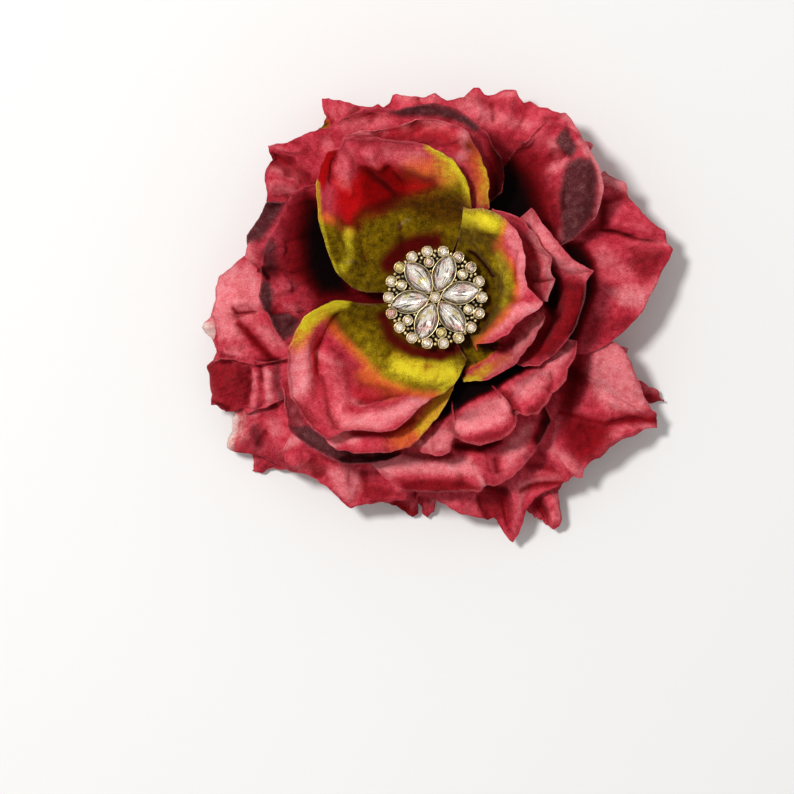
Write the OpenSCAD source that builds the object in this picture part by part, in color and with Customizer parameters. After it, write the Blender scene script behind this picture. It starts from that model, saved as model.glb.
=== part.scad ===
// Flower hair clip: a cloth rose with a stone-set button, glued to a sprung two-jaw clip.
// Millimetres, +Z out of the flower's face, Z = 0 on the underside of the clip's jaw.

/* [Petals] */
// Reach of a long outer petal beyond the button's edge
petal_reach = 50; // [42:1:58]
// Thickness of the stiffened cloth
petal_t = 0.6; // [0.4:0.1:0.9]
// How far the sides of the flat outer petals bow out
side_bow = 0.3; // [0:0.05:0.5]
// Least height of a petal's rim over the underside of the jaw
tip_clear = 1.2; // [1:0.1:3]
// Rows of facets from a petal's base to its rim
body_rows = 4; // [3:1:8]
// Rows of facets round a petal's curled lip
curl_rows = 3; // [2:1:6]

/* [Core] */
// Radius of the core's top
core_top_r = 6.5; // [5.5:0.5:8]
// Width of each glue ledge
ledge_w = 1.4; // [1.2:0.1:1.8]
// Height of each ledge above the one before
ledge_h = 1.7; // [1.5:0.1:2.4]
// Height of the core's foot under the first ledge
core_foot = 1.9; // [1:0.1:4]
// Gap between a petal's base and the step behind it
step_gap = 0.1; // [0.05:0.05:0.3]

/* [Backing] */
// Thickness of the felt disc
felt_t = 1.5; // [1:0.1:3]
// How far the felt shows beyond the core
felt_margin = 0.5; // [0.2:0.1:2]
// Thickness of the glue between clip and felt
glue_t = 0.3; // [0.2:0.1:0.8]
// How far the glue stays inside the edges of the clip
glue_margin = 0.5; // [0.2:0.1:1.5]

/* [Clip] */
// Thickness of the steel strip
strip_t = 0.8; // [0.6:0.1:1]
// Length from the hinge to the tip of the jaws
jaw_l = 48; // [40:1:60]
// Length of the jaw's tail behind the hinge
tail_l = 12; // [8:1:16]
// Length of the lever that the fingers press
lever_l = 13; // [8:1:16]
// Angle of the lever
lever_angle = 25; // [15:1:30]
// Length of the slope from the arm down to its nose
slope_l = 7; // [5:0.5:12]
// Length of the flat nose that closes on the jaw
nose_l = 1.5; // [1:0.1:3]
// Gap between the closed jaws at the nose
nose_gap = 0.1; // [0.05:0.05:0.3]
// Space between the felt's edge and the hinge
hinge_space = 3; // [2.5:0.5:6]
// Height of the gripping teeth
tooth_h = 0.9; // [0.5:0.1:1.2]
// Number of teeth across the jaw
tooth_count = 5; // [3:1:7]

/* [Hinge] */
// Diameter of the hinge pin
pin_d = 1.5; // [1.2:0.1:2]
// Gap between the pin and its holes, all round
pin_play = 0.05; // [0.02:0.01:0.08]
// Gap between the inner and outer ears
ear_play = 0.1; // [0.05:0.05:0.3]
// Gap between an ear's round end and the strip it turns past
ear_clear = 0.4; // [0.3:0.1:0.8]
// How far the pin's heads reach beyond the pin
head_lip = 0.55; // [0.3:0.05:0.8]
// Thickness of the pin's heads
head_t = 0.5; // [0.3:0.1:1]

/* [Spring] */
// Diameter of the spring wire
wire_d = 0.6; // [0.5:0.05:0.8]
// Number of turns
coil_turns = 3; // [2:1:5]
// Gap between turns
coil_gap = 0.55; // [0.5:0.05:0.8]
// Gap between the coil and the pin
coil_bore_gap = 0.65; // [0.3:0.05:1]
// Gap between the coil and the strips above and below
coil_clear = 0.6; // [0.4:0.1:1]
// Gap between the coil and the ears at each side
coil_side_gap = 0.275; // [0.2:0.025:0.6]
// Gap between the spring's legs and the strips they press on
leg_gap = 0.03; // [0.02:0.01:0.06]

/* [Button] */
// Length of a navette stone
navette_l = 10.4; // [8:0.2:13]
// Width of a navette stone
navette_w = 6; // [4:0.2:6.6]
// Height of a navette stone
navette_h = 2.8; // [2:0.1:4]
// Number of navette stones
navette_count = 6; // [5:1:6]
// Turn of the button, from +X to the first navette stone
navette_turn = 10; // [0:1:60]
// Diameter of the stones in the outer ring
ring_stone_d = 2.6; // [2:0.1:3.2]
// Ring stones for each navette stone
ring_share = 3; // [2:1:3]
// Diameter of the stones between the navettes
accent_d = 2.4; // [1.6:0.1:2.8]
// Diameter of the stone in the middle
centre_d = 2.6; // [2:0.1:4]
// Height of the round stones
round_h = 2.2; // [1.5:0.1:3]
// Width of a stone's flat table as a share of the stone
table_share = 0.55; // [0.4:0.05:0.8]
// Metal between neighbouring stones
stone_space = 0.4; // [0.3:0.05:1]
// Gap between a stone and its setting
seat_gap = 0.04; // [0.02:0.01:0.1]
// Width of the settings' walls
setting_w = 0.3; // [0.2:0.05:0.6]
// Height of the settings' walls
setting_h = 1; // [0.6:0.1:1.6]
// Diameter of the metal beads between the ring stones
bead_d = 1; // [0.6:0.1:1.4]
// Thickness of the button's plate
plate_t = 1; // [0.8:0.1:2]
// Diameter of the button's shank
shank_d = 5; // [4:0.5:8]
// Height of the shank's collar over the core
collar_h = 1.5; // [1.2:0.1:3]
// How far the shank goes into the core
shank_in = 6; // [3:0.5:10]

/* [Hidden] */
$fn = 48;
tube_sides = 6;
rings_per_turn = 8;
ledge_count = 10;
first_cupped_ledge = 5;

// Clip heights, from the jaw up
coil_d = pin_d + 2 * coil_bore_gap + wire_d;
jaw_gap = coil_d + wire_d + 2 * coil_clear;
arm_z = strip_t + jaw_gap;
hinge_z = strip_t + jaw_gap / 2;
ear_r = jaw_gap / 2 - ear_clear;
glue_z = arm_z + strip_t;
felt_z = glue_z + glue_t;
core_z = felt_z + felt_t;
core_top_z = core_z + core_foot + ledge_count * ledge_h;

// Clip widths and lengths
coil_pitch = wire_d + coil_gap;
coil_l = coil_turns * coil_pitch + wire_d;
jaw_ear_y = coil_l / 2 + coil_side_gap;
arm_ear_y = jaw_ear_y + strip_t + ear_play;
clip_w = 2 * (arm_ear_y + strip_t);
felt_r = core_top_r + ledge_count * ledge_w + felt_margin;
hinge_x = felt_r + hinge_space;
tip_x = hinge_x - jaw_l;
arm_flat_x = tip_x + nose_l + slope_l;
lever_x = hinge_x + ear_r;

// Button, from its middle outwards
navette_side_r = (navette_w + stone_space) / (2 * sin(180 / navette_count));
navette_r = max(centre_d / 2 + stone_space + navette_l / 2, navette_side_r);
ring_r = navette_r + navette_l / 2 + stone_space;
button_r = ring_r + ring_stone_d / 2 + setting_w;
accent_r = ring_r - ring_stone_d / 2 - stone_space - accent_d / 2;
ring_count = ring_share * navette_count;
button_z = core_top_z + collar_h;
stone_z = button_z + plate_t;

// One petal in a row: name, ledge, first and last angle of its base, where its belly is along
// the way to the rim, the belly's rise, the lip's curl radius, and the rim. A rim point is
// angle, reach beyond the button's edge, rise over its ledge, and curl of the lip.
// Rises, reaches and curl radii are in hundredths of petal_reach.
petals = [
    ["inner_petal_left", 9, [85, 165], 0.55, 1, 3, [
        [72, 29, 18, 20], [80, 44, 28, 30], [90, 52, 34, 60], [101, 57, 35, 70],
        [112, 63, 35, 80], [120, 70, 34, 60], [130, 68, 31, 30], [140, 56, 28, 20],
        [150, 41, 21, 20], [167, 23, 12, 20], [175, 6, 5, 20]]],
    ["inner_petal_right", 9, [-40, 60], 0.8, 0, 9, [
        [-51, 9, 10, 30], [-28, 10, 22, 70], [-10, 13, 28, 95], [5, 15, 29, 95],
        [22, 15, 29, 95], [41, 14, 29, 95], [57, 15, 28, 95], [71, 15, 22, 60]]],
    ["inner_petal_low", 9, [195, 285], 0.6, 0, 3, [
        [187, 6, 4, 20], [182, 22, 12, 20], [185, 36, 20, 20], [192, 48, 25, 20], [202, 57, 28, 40],
        [213, 64, 28, 60], [224, 67, 28, 60], [234, 63, 28, 60], [243, 51, 29, 70],
        [255, 40, 28, 60], [268, 25, 24, 20], [283, 16, 15, 20], [292, 9, 9, 20]]],
    ["second_petal_right", 8, [0, 50], 0.85, 3, 4, [
        [-2, 27, 19, 20], [6, 33, 22, 60], [14, 36, 24, 60], [25, 34, 24, 60],
        [36, 32, 24, 50], [47, 31, 22, 20], [57, 27, 16, 20]]],
    ["second_petal_low_right", 8, [290, 345], 0.8, 1, 4, [
        [289, 17, 11, 20], [301, 22, 16, 30], [315, 26, 20, 60], [329, 27, 22, 60],
        [343, 27, 22, 60], [352, 29, 19, 20]]],
    ["second_petal_top", 7, [70, 130], 0.6, 6, 3, [
        [59, 28, 19, 20], [65, 40, 25, 20], [72, 54, 31, 40], [79, 62, 34, 60],
        [89, 66, 35, 60], [100, 67, 35, 60], [110, 67, 34, 50], [120, 69, 31, 20]]],
    ["second_petal_low", 7, [225, 275], 0.6, 5, 3, [
        [229, 64, 21, 20], [236, 68, 25, 40], [244, 63, 28, 50], [252, 58, 28, 50],
        [260, 52, 26, 40], [267, 42, 24, 20], [275, 30, 19, 20], [282, 20, 14, 20]]],
    ["middle_petal_right", 7, [-45, 45], 0.8, 4, 6, [
        [-38, 27, 19, 20], [-26, 38, 21, 30], [-13, 45, 22, 40], [-1, 49, 22, 60],
        [8, 54, 22, 60], [15, 48, 22, 60], [29, 43, 21, 60], [43, 41, 19, 20]]],
    ["middle_petal_low_right", 6, [265, 330], 0.7, 4, 11, [
        [262, 47, 15, 40], [273, 39, 21, 80], [289, 34, 24, 90], [304, 33, 24, 90],
        [317, 36, 22, 90], [328, 42, 19, 80], [342, 49, 14, 40]]],
    ["middle_petal_top", 5, [75, 135], 0.6, 5, 4, [
        [58, 38, 19, 20], [64, 52, 25, 30], [71, 62, 29, 60], [79, 68, 31, 70],
        [87, 73, 32, 80], [94, 75, 32, 80], [104, 76, 31, 60], [115, 77, 29, 40],
        [123, 77, 25, 20]]],
    ["middle_petal_left", 5, [140, 200], 0.65, 5, 5, [
        [136, 58, 24, 20], [145, 65, 24, 40], [153, 68, 25, 60], [160, 66, 25, 60],
        [169, 64, 25, 60], [177, 63, 25, 60], [186, 58, 24, 60], [194, 53, 21, 30],
        [198, 48, 19, 20]]],
    ["middle_petal_low_left", 5, [205, 265], 0.7, 2, 5, [
        [208, 66, 15, 20], [216, 73, 18, 30], [224, 76, 19, 50], [233, 75, 19, 60],
        [241, 71, 19, 60], [249, 66, 18, 40], [258, 58, 14, 20]]],
    ["middle_petal_top_right", 5, [18, 70], 0.75, 1, 5, [
        [23, 43, 11, 20], [26, 57, 15, 50], [31, 69, 18, 80], [37, 77, 18, 80],
        [44, 83, 16, 60], [50, 83, 12, 30], [57, 77, 9, 20], [61, 66, 8, 20]]],
    ["middle_petal_low", 4, [250, 310], 0.65, 4, 7, [
        [248, 67, 9, 20], [256, 70, 11, 40], [264, 71, 12, 60], [273, 72, 12, 70],
        [283, 72, 12, 70], [290, 73, 12, 60], [297, 70, 12, 50], [305, 65, 11, 20],
        [314, 61, 9, 20]]],
    ["outer_petal_right", 4, [-20, 25], 0.6, 4, 4, [
        [-21, 57, 2, 20], [-14, 69, 1, 30], [-6, 80, -1, 30], [1, 87, -3, 30],
        [8, 94, -6, 30], [12, 101, -10, 20], [17, 98, -7, 30], [23, 91, -4, 30],
        [30, 89, -3, 30], [37, 84, -3, 20]]],
    ["outer_petal_small_left", 4, [150, 180], 0.7, 7, 3, [
        [147, 67, 14, 20], [153, 74, 12, 40], [161, 76, 11, 50], [167, 75, 10, 40],
        [172, 67, 11, 20]]],
    ["outer_petal_top_left", 3, [115, 155], 0.65, 8, 4, [
        [118, 74, 15, 20], [125, 81, 14, 30], [132, 86, 11, 40], [137, 93, 5, 30],
        [142, 86, 8, 40], [147, 78, 9, 30], [150, 69, 10, 20]]],
    ["outer_petal_left", 3, [160, 200], 0.65, 6, 4, [
        [165, 67, 8, 20], [171, 83, 2, 30], [177, 91, 0, 40], [184, 92, -1, 40],
        [191, 93, -1, 40], [196, 89, 0, 30], [200, 74, 3, 20]]],
    ["outer_petal_low_left", 3, [220, 265], 0.65, 3, 5, [
        [225, 88, 1, 20], [234, 87, -2, 40], [241, 88, -4, 40], [247, 91, -7, 30],
        [253, 83, -4, 40], [261, 79, -2, 20], [265, 70, 0, 20]]],
    ["outer_petal_low_right", 3, [310, 345], 0.6, 4, 4, [
        [305, 72, 0, 20], [306, 88, -3, 20], [309, 95, -6, 20], [318, 94, -5, 40],
        [325, 98, -8, 30], [331, 108, -14, 20], [333, 97, -8, 30], [339, 84, -2, 30],
        [346, 72, 1, 20]]],
    ["outer_petal_bottom", 2, [265, 310], 0.6, 4, 4, [
        [269, 78, -2, 20], [276, 86, -5, 30], [283, 95, -9, 20], [288, 108, -16, 20],
        [292, 98, -9, 20], [298, 92, -5, 30], [306, 92, -3, 20]]],
    ["outer_petal_curled", 2, [185, 215], 0.7, 6, 6, [
        [193, 87, -2, 20], [196, 96, -5, 40], [201, 99, -7, 50], [206, 100, -7, 40],
        [211, 91, -4, 20]]],
    ["outer_petal_far_low_left", 1, [200, 235], 0.6, 4, 4, [
        [209, 97, -7, 20], [213, 104, -10, 20], [216, 110, -13, 20], [220, 102, -10, 20],
        [227, 97, -7, 30], [233, 90, -5, 20], [240, 87, -5, 20]]],
    ["outer_petal_top", 1, [50, 110], 0.6, 9, 3, [
        [44, 84, 11, 20], [50, 92, 9, 30], [56, 93, 5, 30], [62, 91, 4, 30],
        [69, 93, 2, 20], [75, 89, 4, 30], [79, 90, 2, 20], [86, 82, 5, 30],
        [93, 84, 4, 30], [101, 87, 3, 20], [107, 78, 9, 20]]],
    ["outer_petal_far_bottom", 1, [285, 310], 0.6, 2, 3, [
        [293, 94, -11, 20], [295, 107, -15, 20], [297, 113, -17, 20], [301, 105, -13, 20],
        [306, 93, -9, 20]]],
    ["back_petal_left", 0, [175, 205], 0.6, 3, 3, [
        [178, 84, -10, 20], [183, 96, -14, 20], [187, 102, -18, 20], [191, 96, -14, 20],
        [196, 86, -10, 20]]],
    ["back_petal_low_left", 0, [215, 245], 0.6, 3, 3, [
        [217, 97, -12, 20], [221, 104, -16, 20], [224, 108, -19, 20], [227, 100, -16, 20],
        [229, 88, -12, 20]]],
    ["back_petal_bottom", 0, [255, 285], 0.6, 3, 3, [
        [255, 83, -12, 20], [264, 92, -18, 20], [265, 84, -14, 20], [268, 90, -18, 20],
        [272, 80, -12, 20]]],
    ["back_petal_right", 0, [312, 340], 0.6, 3, 3, [
        [323, 92, -12, 20], [329, 93, -14, 20], [336, 108, -18, 20], [339, 91, -14, 20],
        [346, 81, -12, 20]]],
    ["back_petal_top_left", 0, [105, 135], 0.6, 3, 3, [
        [103, 80, -4, 20], [111, 87, -6, 20], [116, 95, -7, 20], [119, 99, -8, 20],
        [123, 88, -6, 20], [128, 80, -4, 20]]]];

function unit(v) = v / norm(v);
function between(a, b, share) = a + (b - a) * share;
function polar(r, angle, z) = [r * cos(angle), r * sin(angle), z];
function petal_part(hundredths) = petal_reach * hundredths / 100;
function ledge_r(k) = core_top_r + ledge_w * (ledge_count - k);
function ledge_z(k) = core_z + core_foot + ledge_h * k;

// A quadratic curve from a to c, drawn towards b
function bend(a, b, c, u) = between(between(a, b, u), between(b, c, u), u);

// How far, in degrees, a petal's side bows out at its belly
function bow(p, angle) = p[1] < first_cupped_ledge ? side_bow * (angle - (p[2][0] + p[2][1]) / 2) : 0;

// The middle of the cloth along one line from the base of a petal to its lip
function petal_line(p, rim, angle) =
    let (
        z = ledge_z(p[1]) + petal_t / 2,
        root = polar(ledge_r(p[1]), angle, z),
        rim_r = button_r + petal_part(rim[1]),
        edge = polar(rim_r, rim[0], max(z + petal_part(rim[2]), tip_clear)),
        belly = polar(
            between(ledge_r(p[1]), rim_r, p[3]),
            between(angle, rim[0], p[3]) + bow(p, angle),
            z + petal_part(p[4])),
        along = unit(edge - belly),
        level = norm([along.x, along.y]),
        up = [-along.x * along.z / level, -along.y * along.z / level, level])
    [
        polar(ledge_r(p[1] + 1) + step_gap, angle, z),
        root,
        for (j = [1:body_rows]) bend(root, belly, edge, j / body_rows),
        for (j = [1:curl_rows])
            let (turn = rim[3] * j / curl_rows)
            edge + petal_part(p[5]) * (sin(turn) * along - (1 - cos(turn)) * up)];

function petal_grid(p) =
    let (last = len(p[6]) - 1)
    [for (i = [0:last]) petal_line(p, p[6][i], between(p[2][0], p[2][1], i / last))];

// The cloth's upward direction at one point of the grid; the base lies flat on its ledge
function cloth_up(grid, i, j) =
    let (
        wide = grid[min(i + 1, len(grid) - 1)][j] - grid[max(i - 1, 0)][j],
        long = grid[i][min(j + 1, len(grid[0]) - 1)] - grid[i][max(j - 1, 0)])
    j < 2 ? [0, 0, 1] : unit(cross(long, wide));

module petal(p) {
    grid = petal_grid(p);
    columns = len(grid);
    rows = len(grid[0]);
    size = columns * rows;
    half = petal_t / 2;
    top = [for (i = [0:columns - 1]) for (j = [0:rows - 1]) grid[i][j] + half * cloth_up(grid, i, j)];
    bottom = [for (i = [0:columns - 1]) for (j = [0:rows - 1]) grid[i][j] - half * cloth_up(grid, i, j)];
    cells = [for (i = [0:columns - 2]) for (j = [0:rows - 2]) i * rows + j];
    outline = concat(
        [for (j = [0:rows - 1]) j],
        [for (i = [1:columns - 1]) i * rows + rows - 1],
        [for (j = [rows - 2:-1:0]) (columns - 1) * rows + j],
        [for (i = [columns - 2:-1:1]) i * rows]);
    n = len(outline);
    faces = concat(
        [for (c = cells) each [[c, c + rows, c + rows + 1], [c, c + rows + 1, c + 1]]],
        [for (c = cells) each [
            [size + c, size + c + rows + 1, size + c + rows],
            [size + c, size + c + 1, size + c + rows + 1]]],
        [for (k = [0:n - 1])
            let (a = outline[k], b = outline[(k + 1) % n])
            each [[a, b, size + b], [a, size + b, size + a]]]);
    color("crimson")
        polyhedron(concat(top, bottom), faces);
}

// The outline of a strip bent along a path, with the strip on the path's left
function left_of(a, b) = unit([a.y - b.y, b.x - a.x]);
function beside(path, t) =
    let (last = len(path) - 1)
    [for (i = [0:last])
        let (
            before = left_of(path[max(i - 1, 0)], path[max(i, 1)]),
            after = left_of(path[min(i, last - 1)], path[min(i + 1, last)]),
            mitre = before + after)
        path[i] + 2 * t * mitre / (mitre * mitre)];
module strip(path) {
    other = beside(path, strip_t);
    rotate([90, 0, 0])
        linear_extrude(clip_w, center = true)
            polygon(concat(path, [for (i = [len(other) - 1:-1:0]) other[i]]));
}

// A pair of ears with their inner faces at y, from the hinge to the strip
module ears(y, strip_side) {
    for (side = [-1, 1])
        translate([hinge_x, side * (y + strip_t / 2), hinge_z])
            rotate([90, 0, 0])
                linear_extrude(strip_t, center = true) {
                    circle(ear_r);
                    translate([-ear_r, min(strip_side, 0) * (jaw_gap + strip_t) / 2])
                        square([2 * ear_r, (jaw_gap + strip_t) / 2]);
                }
}

module pin_hole() {
    translate([hinge_x, 0, hinge_z])
        rotate([90, 0, 0])
            cylinder(d = pin_d + 2 * pin_play, h = 2 * clip_w, center = true);
}

module clip_arm() {
    nose_z = strip_t + nose_gap;
    path = [
        [tip_x, nose_z],
        [tip_x + nose_l, nose_z],
        [arm_flat_x, arm_z],
        [lever_x, arm_z],
        [lever_x + lever_l * cos(lever_angle), arm_z + lever_l * sin(lever_angle)]];
    color("silver")
        difference() {
            union() {
                strip(path);
                ears(arm_ear_y, 1);
            }
            pin_hole();
        }
}

module clip_jaw() {
    tooth_w = clip_w / tooth_count;
    tooth_x = tip_x + nose_l + slope_l / 2;
    valley = tooth_h / 4;
    teeth = [
        for (k = [0:tooth_count - 1])
            each [[(k + 0.5) * tooth_w, tooth_h], [(k + 1) * tooth_w, valley]]];
    color("silver")
        difference() {
            union() {
                strip([[tip_x, 0], [hinge_x + tail_l, 0]]);
                ears(jaw_ear_y, -1);
                translate([tooth_x, -clip_w / 2, strip_t])
                    rotate([90, 0, 90])
                        linear_extrude(strip_t)
                            polygon(concat(
                                [[0, -strip_t / 2], [0, valley]],
                                teeth,
                                [[clip_w, -strip_t / 2]]));
            }
            pin_hole();
        }
}

module hinge_pin() {
    color("gray")
        translate([hinge_x, 0, hinge_z])
            rotate([90, 0, 0]) {
                cylinder(d = pin_d, h = clip_w + 2 * head_t, center = true);
                for (side = [-1, 1])
                    translate([0, 0, side * (clip_w + head_t) / 2])
                        cylinder(d = pin_d + 2 * head_lip, h = head_t, center = true);
            }
}

// The spring: a leg up from the jaw, the turns round the pin, and a leg up to the arm
function spring_point(turn) =
    let (angle = 360 * turn)
    [
        hinge_x + coil_d / 2 * cos(angle),
        coil_pitch * (turn - coil_turns / 2),
        hinge_z + coil_d / 2 * sin(angle)];
spring_steps = coil_turns * rings_per_turn;
spring_foot = [hinge_x + coil_d / 2, -coil_pitch * coil_turns / 2, strip_t + leg_gap];
spring_head = [hinge_x + coil_d / 2, coil_pitch * coil_turns / 2, arm_z - leg_gap];
coil_steps = [for (k = [0:spring_steps]) k / rings_per_turn];
spring_turns = concat([0], coil_steps, [coil_turns]);
spring_path = concat([spring_foot], [for (turn = coil_steps) spring_point(turn)], [spring_head]);
spring_gap = min([
    for (i = [0:len(spring_path) - 1])
        for (j = [i + rings_per_turn / 2 + 1:1:len(spring_path) - 1])
            norm(spring_path[i] - spring_path[j])]) - wire_d;
echo(spring_gap = spring_gap);

module torsion_spring() {
    points = [
        for (i = [0:len(spring_path) - 1])
            for (k = [0:tube_sides - 1])
                let (side = 360 * k / tube_sides)
                spring_path[i] + wire_d / 2 * [
                    cos(side) * cos(360 * spring_turns[i]),
                    sin(side),
                    cos(side) * sin(360 * spring_turns[i])]];
    last = len(points) - tube_sides;
    wall = [
        for (i = [0:len(spring_path) - 2])
            for (k = [0:tube_sides - 1])
                let (
                    a = i * tube_sides + k,
                    b = i * tube_sides + (k + 1) % tube_sides)
                each [[a, a + tube_sides, b + tube_sides], [a, b + tube_sides, b]]];
    ends = [
        for (k = [1:tube_sides - 2])
            each [[0, k, k + 1], [last, last + k + 1, last + k]]];
    color("dimgray")
        polyhedron(points, concat(wall, ends));
}

module glue_pad() {
    start_x = max(arm_flat_x, -felt_r) + glue_margin;
    end_x = felt_r - felt_margin - glue_margin;
    color("ivory")
        translate([start_x, -clip_w / 2 + glue_margin, glue_z])
            cube([end_x - start_x, clip_w - 2 * glue_margin, glue_t]);
}

module felt_disc() {
    color("darkred")
        translate([0, 0, felt_z])
            cylinder(r = felt_r, h = felt_t, $fn = 96);
}

module flower_core() {
    steps = [
        for (k = [0:ledge_count])
            each [[ledge_r(k), k == 0 ? core_z : ledge_z(k - 1)], [ledge_r(k), ledge_z(k)]]];
    color("darkolivegreen")
        difference() {
            rotate_extrude($fn = 96)
                polygon(concat([[0, core_z]], steps, [[0, core_top_z]]));
            translate([0, 0, core_top_z - shank_in])
                cylinder(d = shank_d + 2 * seat_gap, h = shank_in + ledge_h);
        }
}

module button_shank() {
    color("goldenrod") {
        translate([0, 0, core_top_z - shank_in])
            cylinder(d = shank_d, h = shank_in + collar_h);
        translate([0, 0, core_top_z])
            cylinder(r = (core_top_r + shank_d / 2) / 2, h = collar_h);
    }
}

// A pointed oval of two arcs, grown all round by extra
module navette_outline(extra) {
    arc_r = (navette_l * navette_l + navette_w * navette_w) / (4 * navette_w);
    offset_y = arc_r - navette_w / 2;
    intersection() {
        translate([0, offset_y])
            circle(arc_r + extra, $fn = 96);
        translate([0, -offset_y])
            circle(arc_r + extra, $fn = 96);
    }
}

module at_navette(k) {
    rotate(navette_turn + 360 * k / navette_count)
        translate([navette_r, 0, stone_z])
            children();
}
module at_accent(k) {
    rotate(navette_turn + 360 * (k + 0.5) / navette_count)
        translate([accent_r, 0, stone_z])
            children();
}
module at_ring(k) {
    rotate(navette_turn + 360 * (k + 0.5) / ring_count)
        translate([ring_r, 0, stone_z])
            children();
}
module at_bead(k) {
    rotate(navette_turn + 360 * k / ring_count)
        translate([ring_r, 0, stone_z])
            children();
}

// Every stone's place, grown by extra: the settings' walls, and the room for the stones
module stone_places(extra, h) {
    translate([0, 0, stone_z])
        cylinder(d = centre_d + 2 * extra, h = h);
    for (k = [0:navette_count - 1]) {
        at_navette(k)
            linear_extrude(h)
                navette_outline(extra);
        at_accent(k)
            cylinder(d = accent_d + 2 * extra, h = h);
    }
    for (k = [0:ring_count - 1])
        at_ring(k)
            cylinder(d = ring_stone_d + 2 * extra, h = h);
}

module button_setting() {
    color("goldenrod")
        difference() {
            union() {
                translate([0, 0, button_z])
                    cylinder(r = ring_r + bead_d, h = plate_t, $fn = 96);
                translate([0, 0, -plate_t / 2])
                    stone_places(setting_w, setting_h + plate_t / 2);
                for (k = [0:ring_count - 1])
                    at_bead(k)
                        sphere(d = bead_d, $fn = 24);
            }
            stone_places(seat_gap, navette_h + round_h);
        }
}

// A cut stone: straight girdle, then a crown that narrows to a flat table
module round_stone(d) {
    girdle_h = round_h / 2;
    color("lavenderblush") {
        cylinder(d = d, h = girdle_h);
        translate([0, 0, girdle_h])
            cylinder(d1 = d, d2 = d * table_share, h = round_h - girdle_h);
    }
}

// A roof with a flat table, over a base of the given width, along X
module stone_roof(w) {
    table_w = w * table_share;
    rotate([90, 0, 90])
        linear_extrude(navette_l + navette_w, center = true)
            polygon([
                [-w / 2, 0], [w / 2, 0], [w / 2, navette_h / 2],
                [table_w / 2, navette_h], [-table_w / 2, navette_h], [-w / 2, navette_h / 2]]);
}

module navette_stone(k) {
    color("lavenderblush")
        at_navette(k)
            intersection() {
                linear_extrude(navette_h)
                    navette_outline(0);
                stone_roof(navette_w);
                rotate(90)
                    stone_roof(navette_l);
            }
}

module centre_stone() {
    translate([0, 0, stone_z])
        round_stone(centre_d);
}

module accent_stones() {
    for (k = [0:navette_count - 1])
        at_accent(k)
            round_stone(accent_d);
}

module ring_stones() {
    for (k = [0:ring_count - 1])
        at_ring(k)
            round_stone(ring_stone_d);
}

clip_arm();
clip_jaw();
hinge_pin();
torsion_spring();
glue_pad();
felt_disc();
flower_core();
button_shank();
button_setting();
centre_stone();
accent_stones();
ring_stones();
for (k = [0:navette_count - 1])
    navette_stone(k);
for (p = petals)
    petal(p);
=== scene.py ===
import math

import bpy
import numpy as np
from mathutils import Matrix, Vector, noise


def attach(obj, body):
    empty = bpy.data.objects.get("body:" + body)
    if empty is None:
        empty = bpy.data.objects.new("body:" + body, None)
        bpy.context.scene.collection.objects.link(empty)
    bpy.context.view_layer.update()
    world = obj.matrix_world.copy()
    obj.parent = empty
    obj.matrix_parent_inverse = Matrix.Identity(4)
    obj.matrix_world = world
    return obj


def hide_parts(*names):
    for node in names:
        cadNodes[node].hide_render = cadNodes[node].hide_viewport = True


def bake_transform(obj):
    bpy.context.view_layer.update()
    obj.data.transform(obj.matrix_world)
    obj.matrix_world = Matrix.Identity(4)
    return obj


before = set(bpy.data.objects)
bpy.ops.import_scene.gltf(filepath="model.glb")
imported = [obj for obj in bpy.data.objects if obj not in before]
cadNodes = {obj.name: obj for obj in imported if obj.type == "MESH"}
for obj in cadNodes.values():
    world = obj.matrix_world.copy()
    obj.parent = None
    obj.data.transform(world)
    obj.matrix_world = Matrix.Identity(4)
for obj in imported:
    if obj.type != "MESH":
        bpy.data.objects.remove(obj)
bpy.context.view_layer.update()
mm = 0.001  # the drawing is in millimetres, Blender in metres


def spot(x, y, z):
    return (x * mm, y * mm, z * mm)


def deselectAll():
    if bpy.context.object and bpy.context.object.mode == "EDIT":
        bpy.ops.object.mode_set(mode="OBJECT")
    bpy.ops.object.select_all(action="DESELECT")


def pick(piece):
    deselectAll()
    piece.select_set(True)
    bpy.context.view_layer.objects.active = piece
    return piece


def editAll(piece, kind):
    # into edit mode with everything selected, as VERT, EDGE or FACE
    pick(piece)
    bpy.ops.object.mode_set(mode="EDIT")
    bpy.ops.mesh.select_mode(type=kind)
    bpy.ops.mesh.select_all(action="SELECT")


def fixPlace():
    # the active piece's place, turn and scale go into its mesh
    bpy.ops.object.transform_apply(location=True, rotation=True, scale=True)


def applyModifier(piece, kind, **settings):
    pick(piece)
    made = piece.modifiers.new(kind.title(), kind)
    for key, value in settings.items():
        setattr(made, key, value)
    bpy.ops.object.modifier_apply(modifier=made.name)


def roundEdges(piece, width, segments, angle):
    # round over the edges that are sharper than an angle
    applyModifier(piece, "BEVEL", width=width * mm, segments=segments, limit_method="ANGLE",
                  angle_limit=math.radians(angle))


def dress(piece, material, angle):
    # one finish, and smooth shading up to an angle
    pick(piece)
    bpy.ops.object.shade_smooth_by_angle(angle=math.radians(angle))
    piece.data.materials.clear()
    piece.data.materials.append(material)


def joinPieces(pieces, name):
    pick(pieces[0])
    for piece in pieces:
        piece.select_set(True)
    if len(pieces) > 1:
        bpy.ops.object.join()
    pieces[0].name = name
    pieces[0].data.name = name
    return pieces[0]


def copyTo(piece, x, y, z, turn=0.0):
    # a copy with its own mesh, turned about Z and moved, in millimetres
    made = piece.copy()
    made.data = piece.data.copy()
    bpy.context.scene.collection.objects.link(made)
    pick(made)
    made.rotation_euler = (0, 0, math.radians(turn))
    made.location = spot(x, y, z)
    fixPlace()
    return made


def around(piece, radius, count, turn, z):
    # copies in a ring about Z
    copies = []
    for k in range(count):
        angle = turn + 360 * k / count
        x, y = radius * math.cos(math.radians(angle)), radius * math.sin(math.radians(angle))
        copies.append(copyTo(piece, x, y, z, angle))
    return copies


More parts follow.
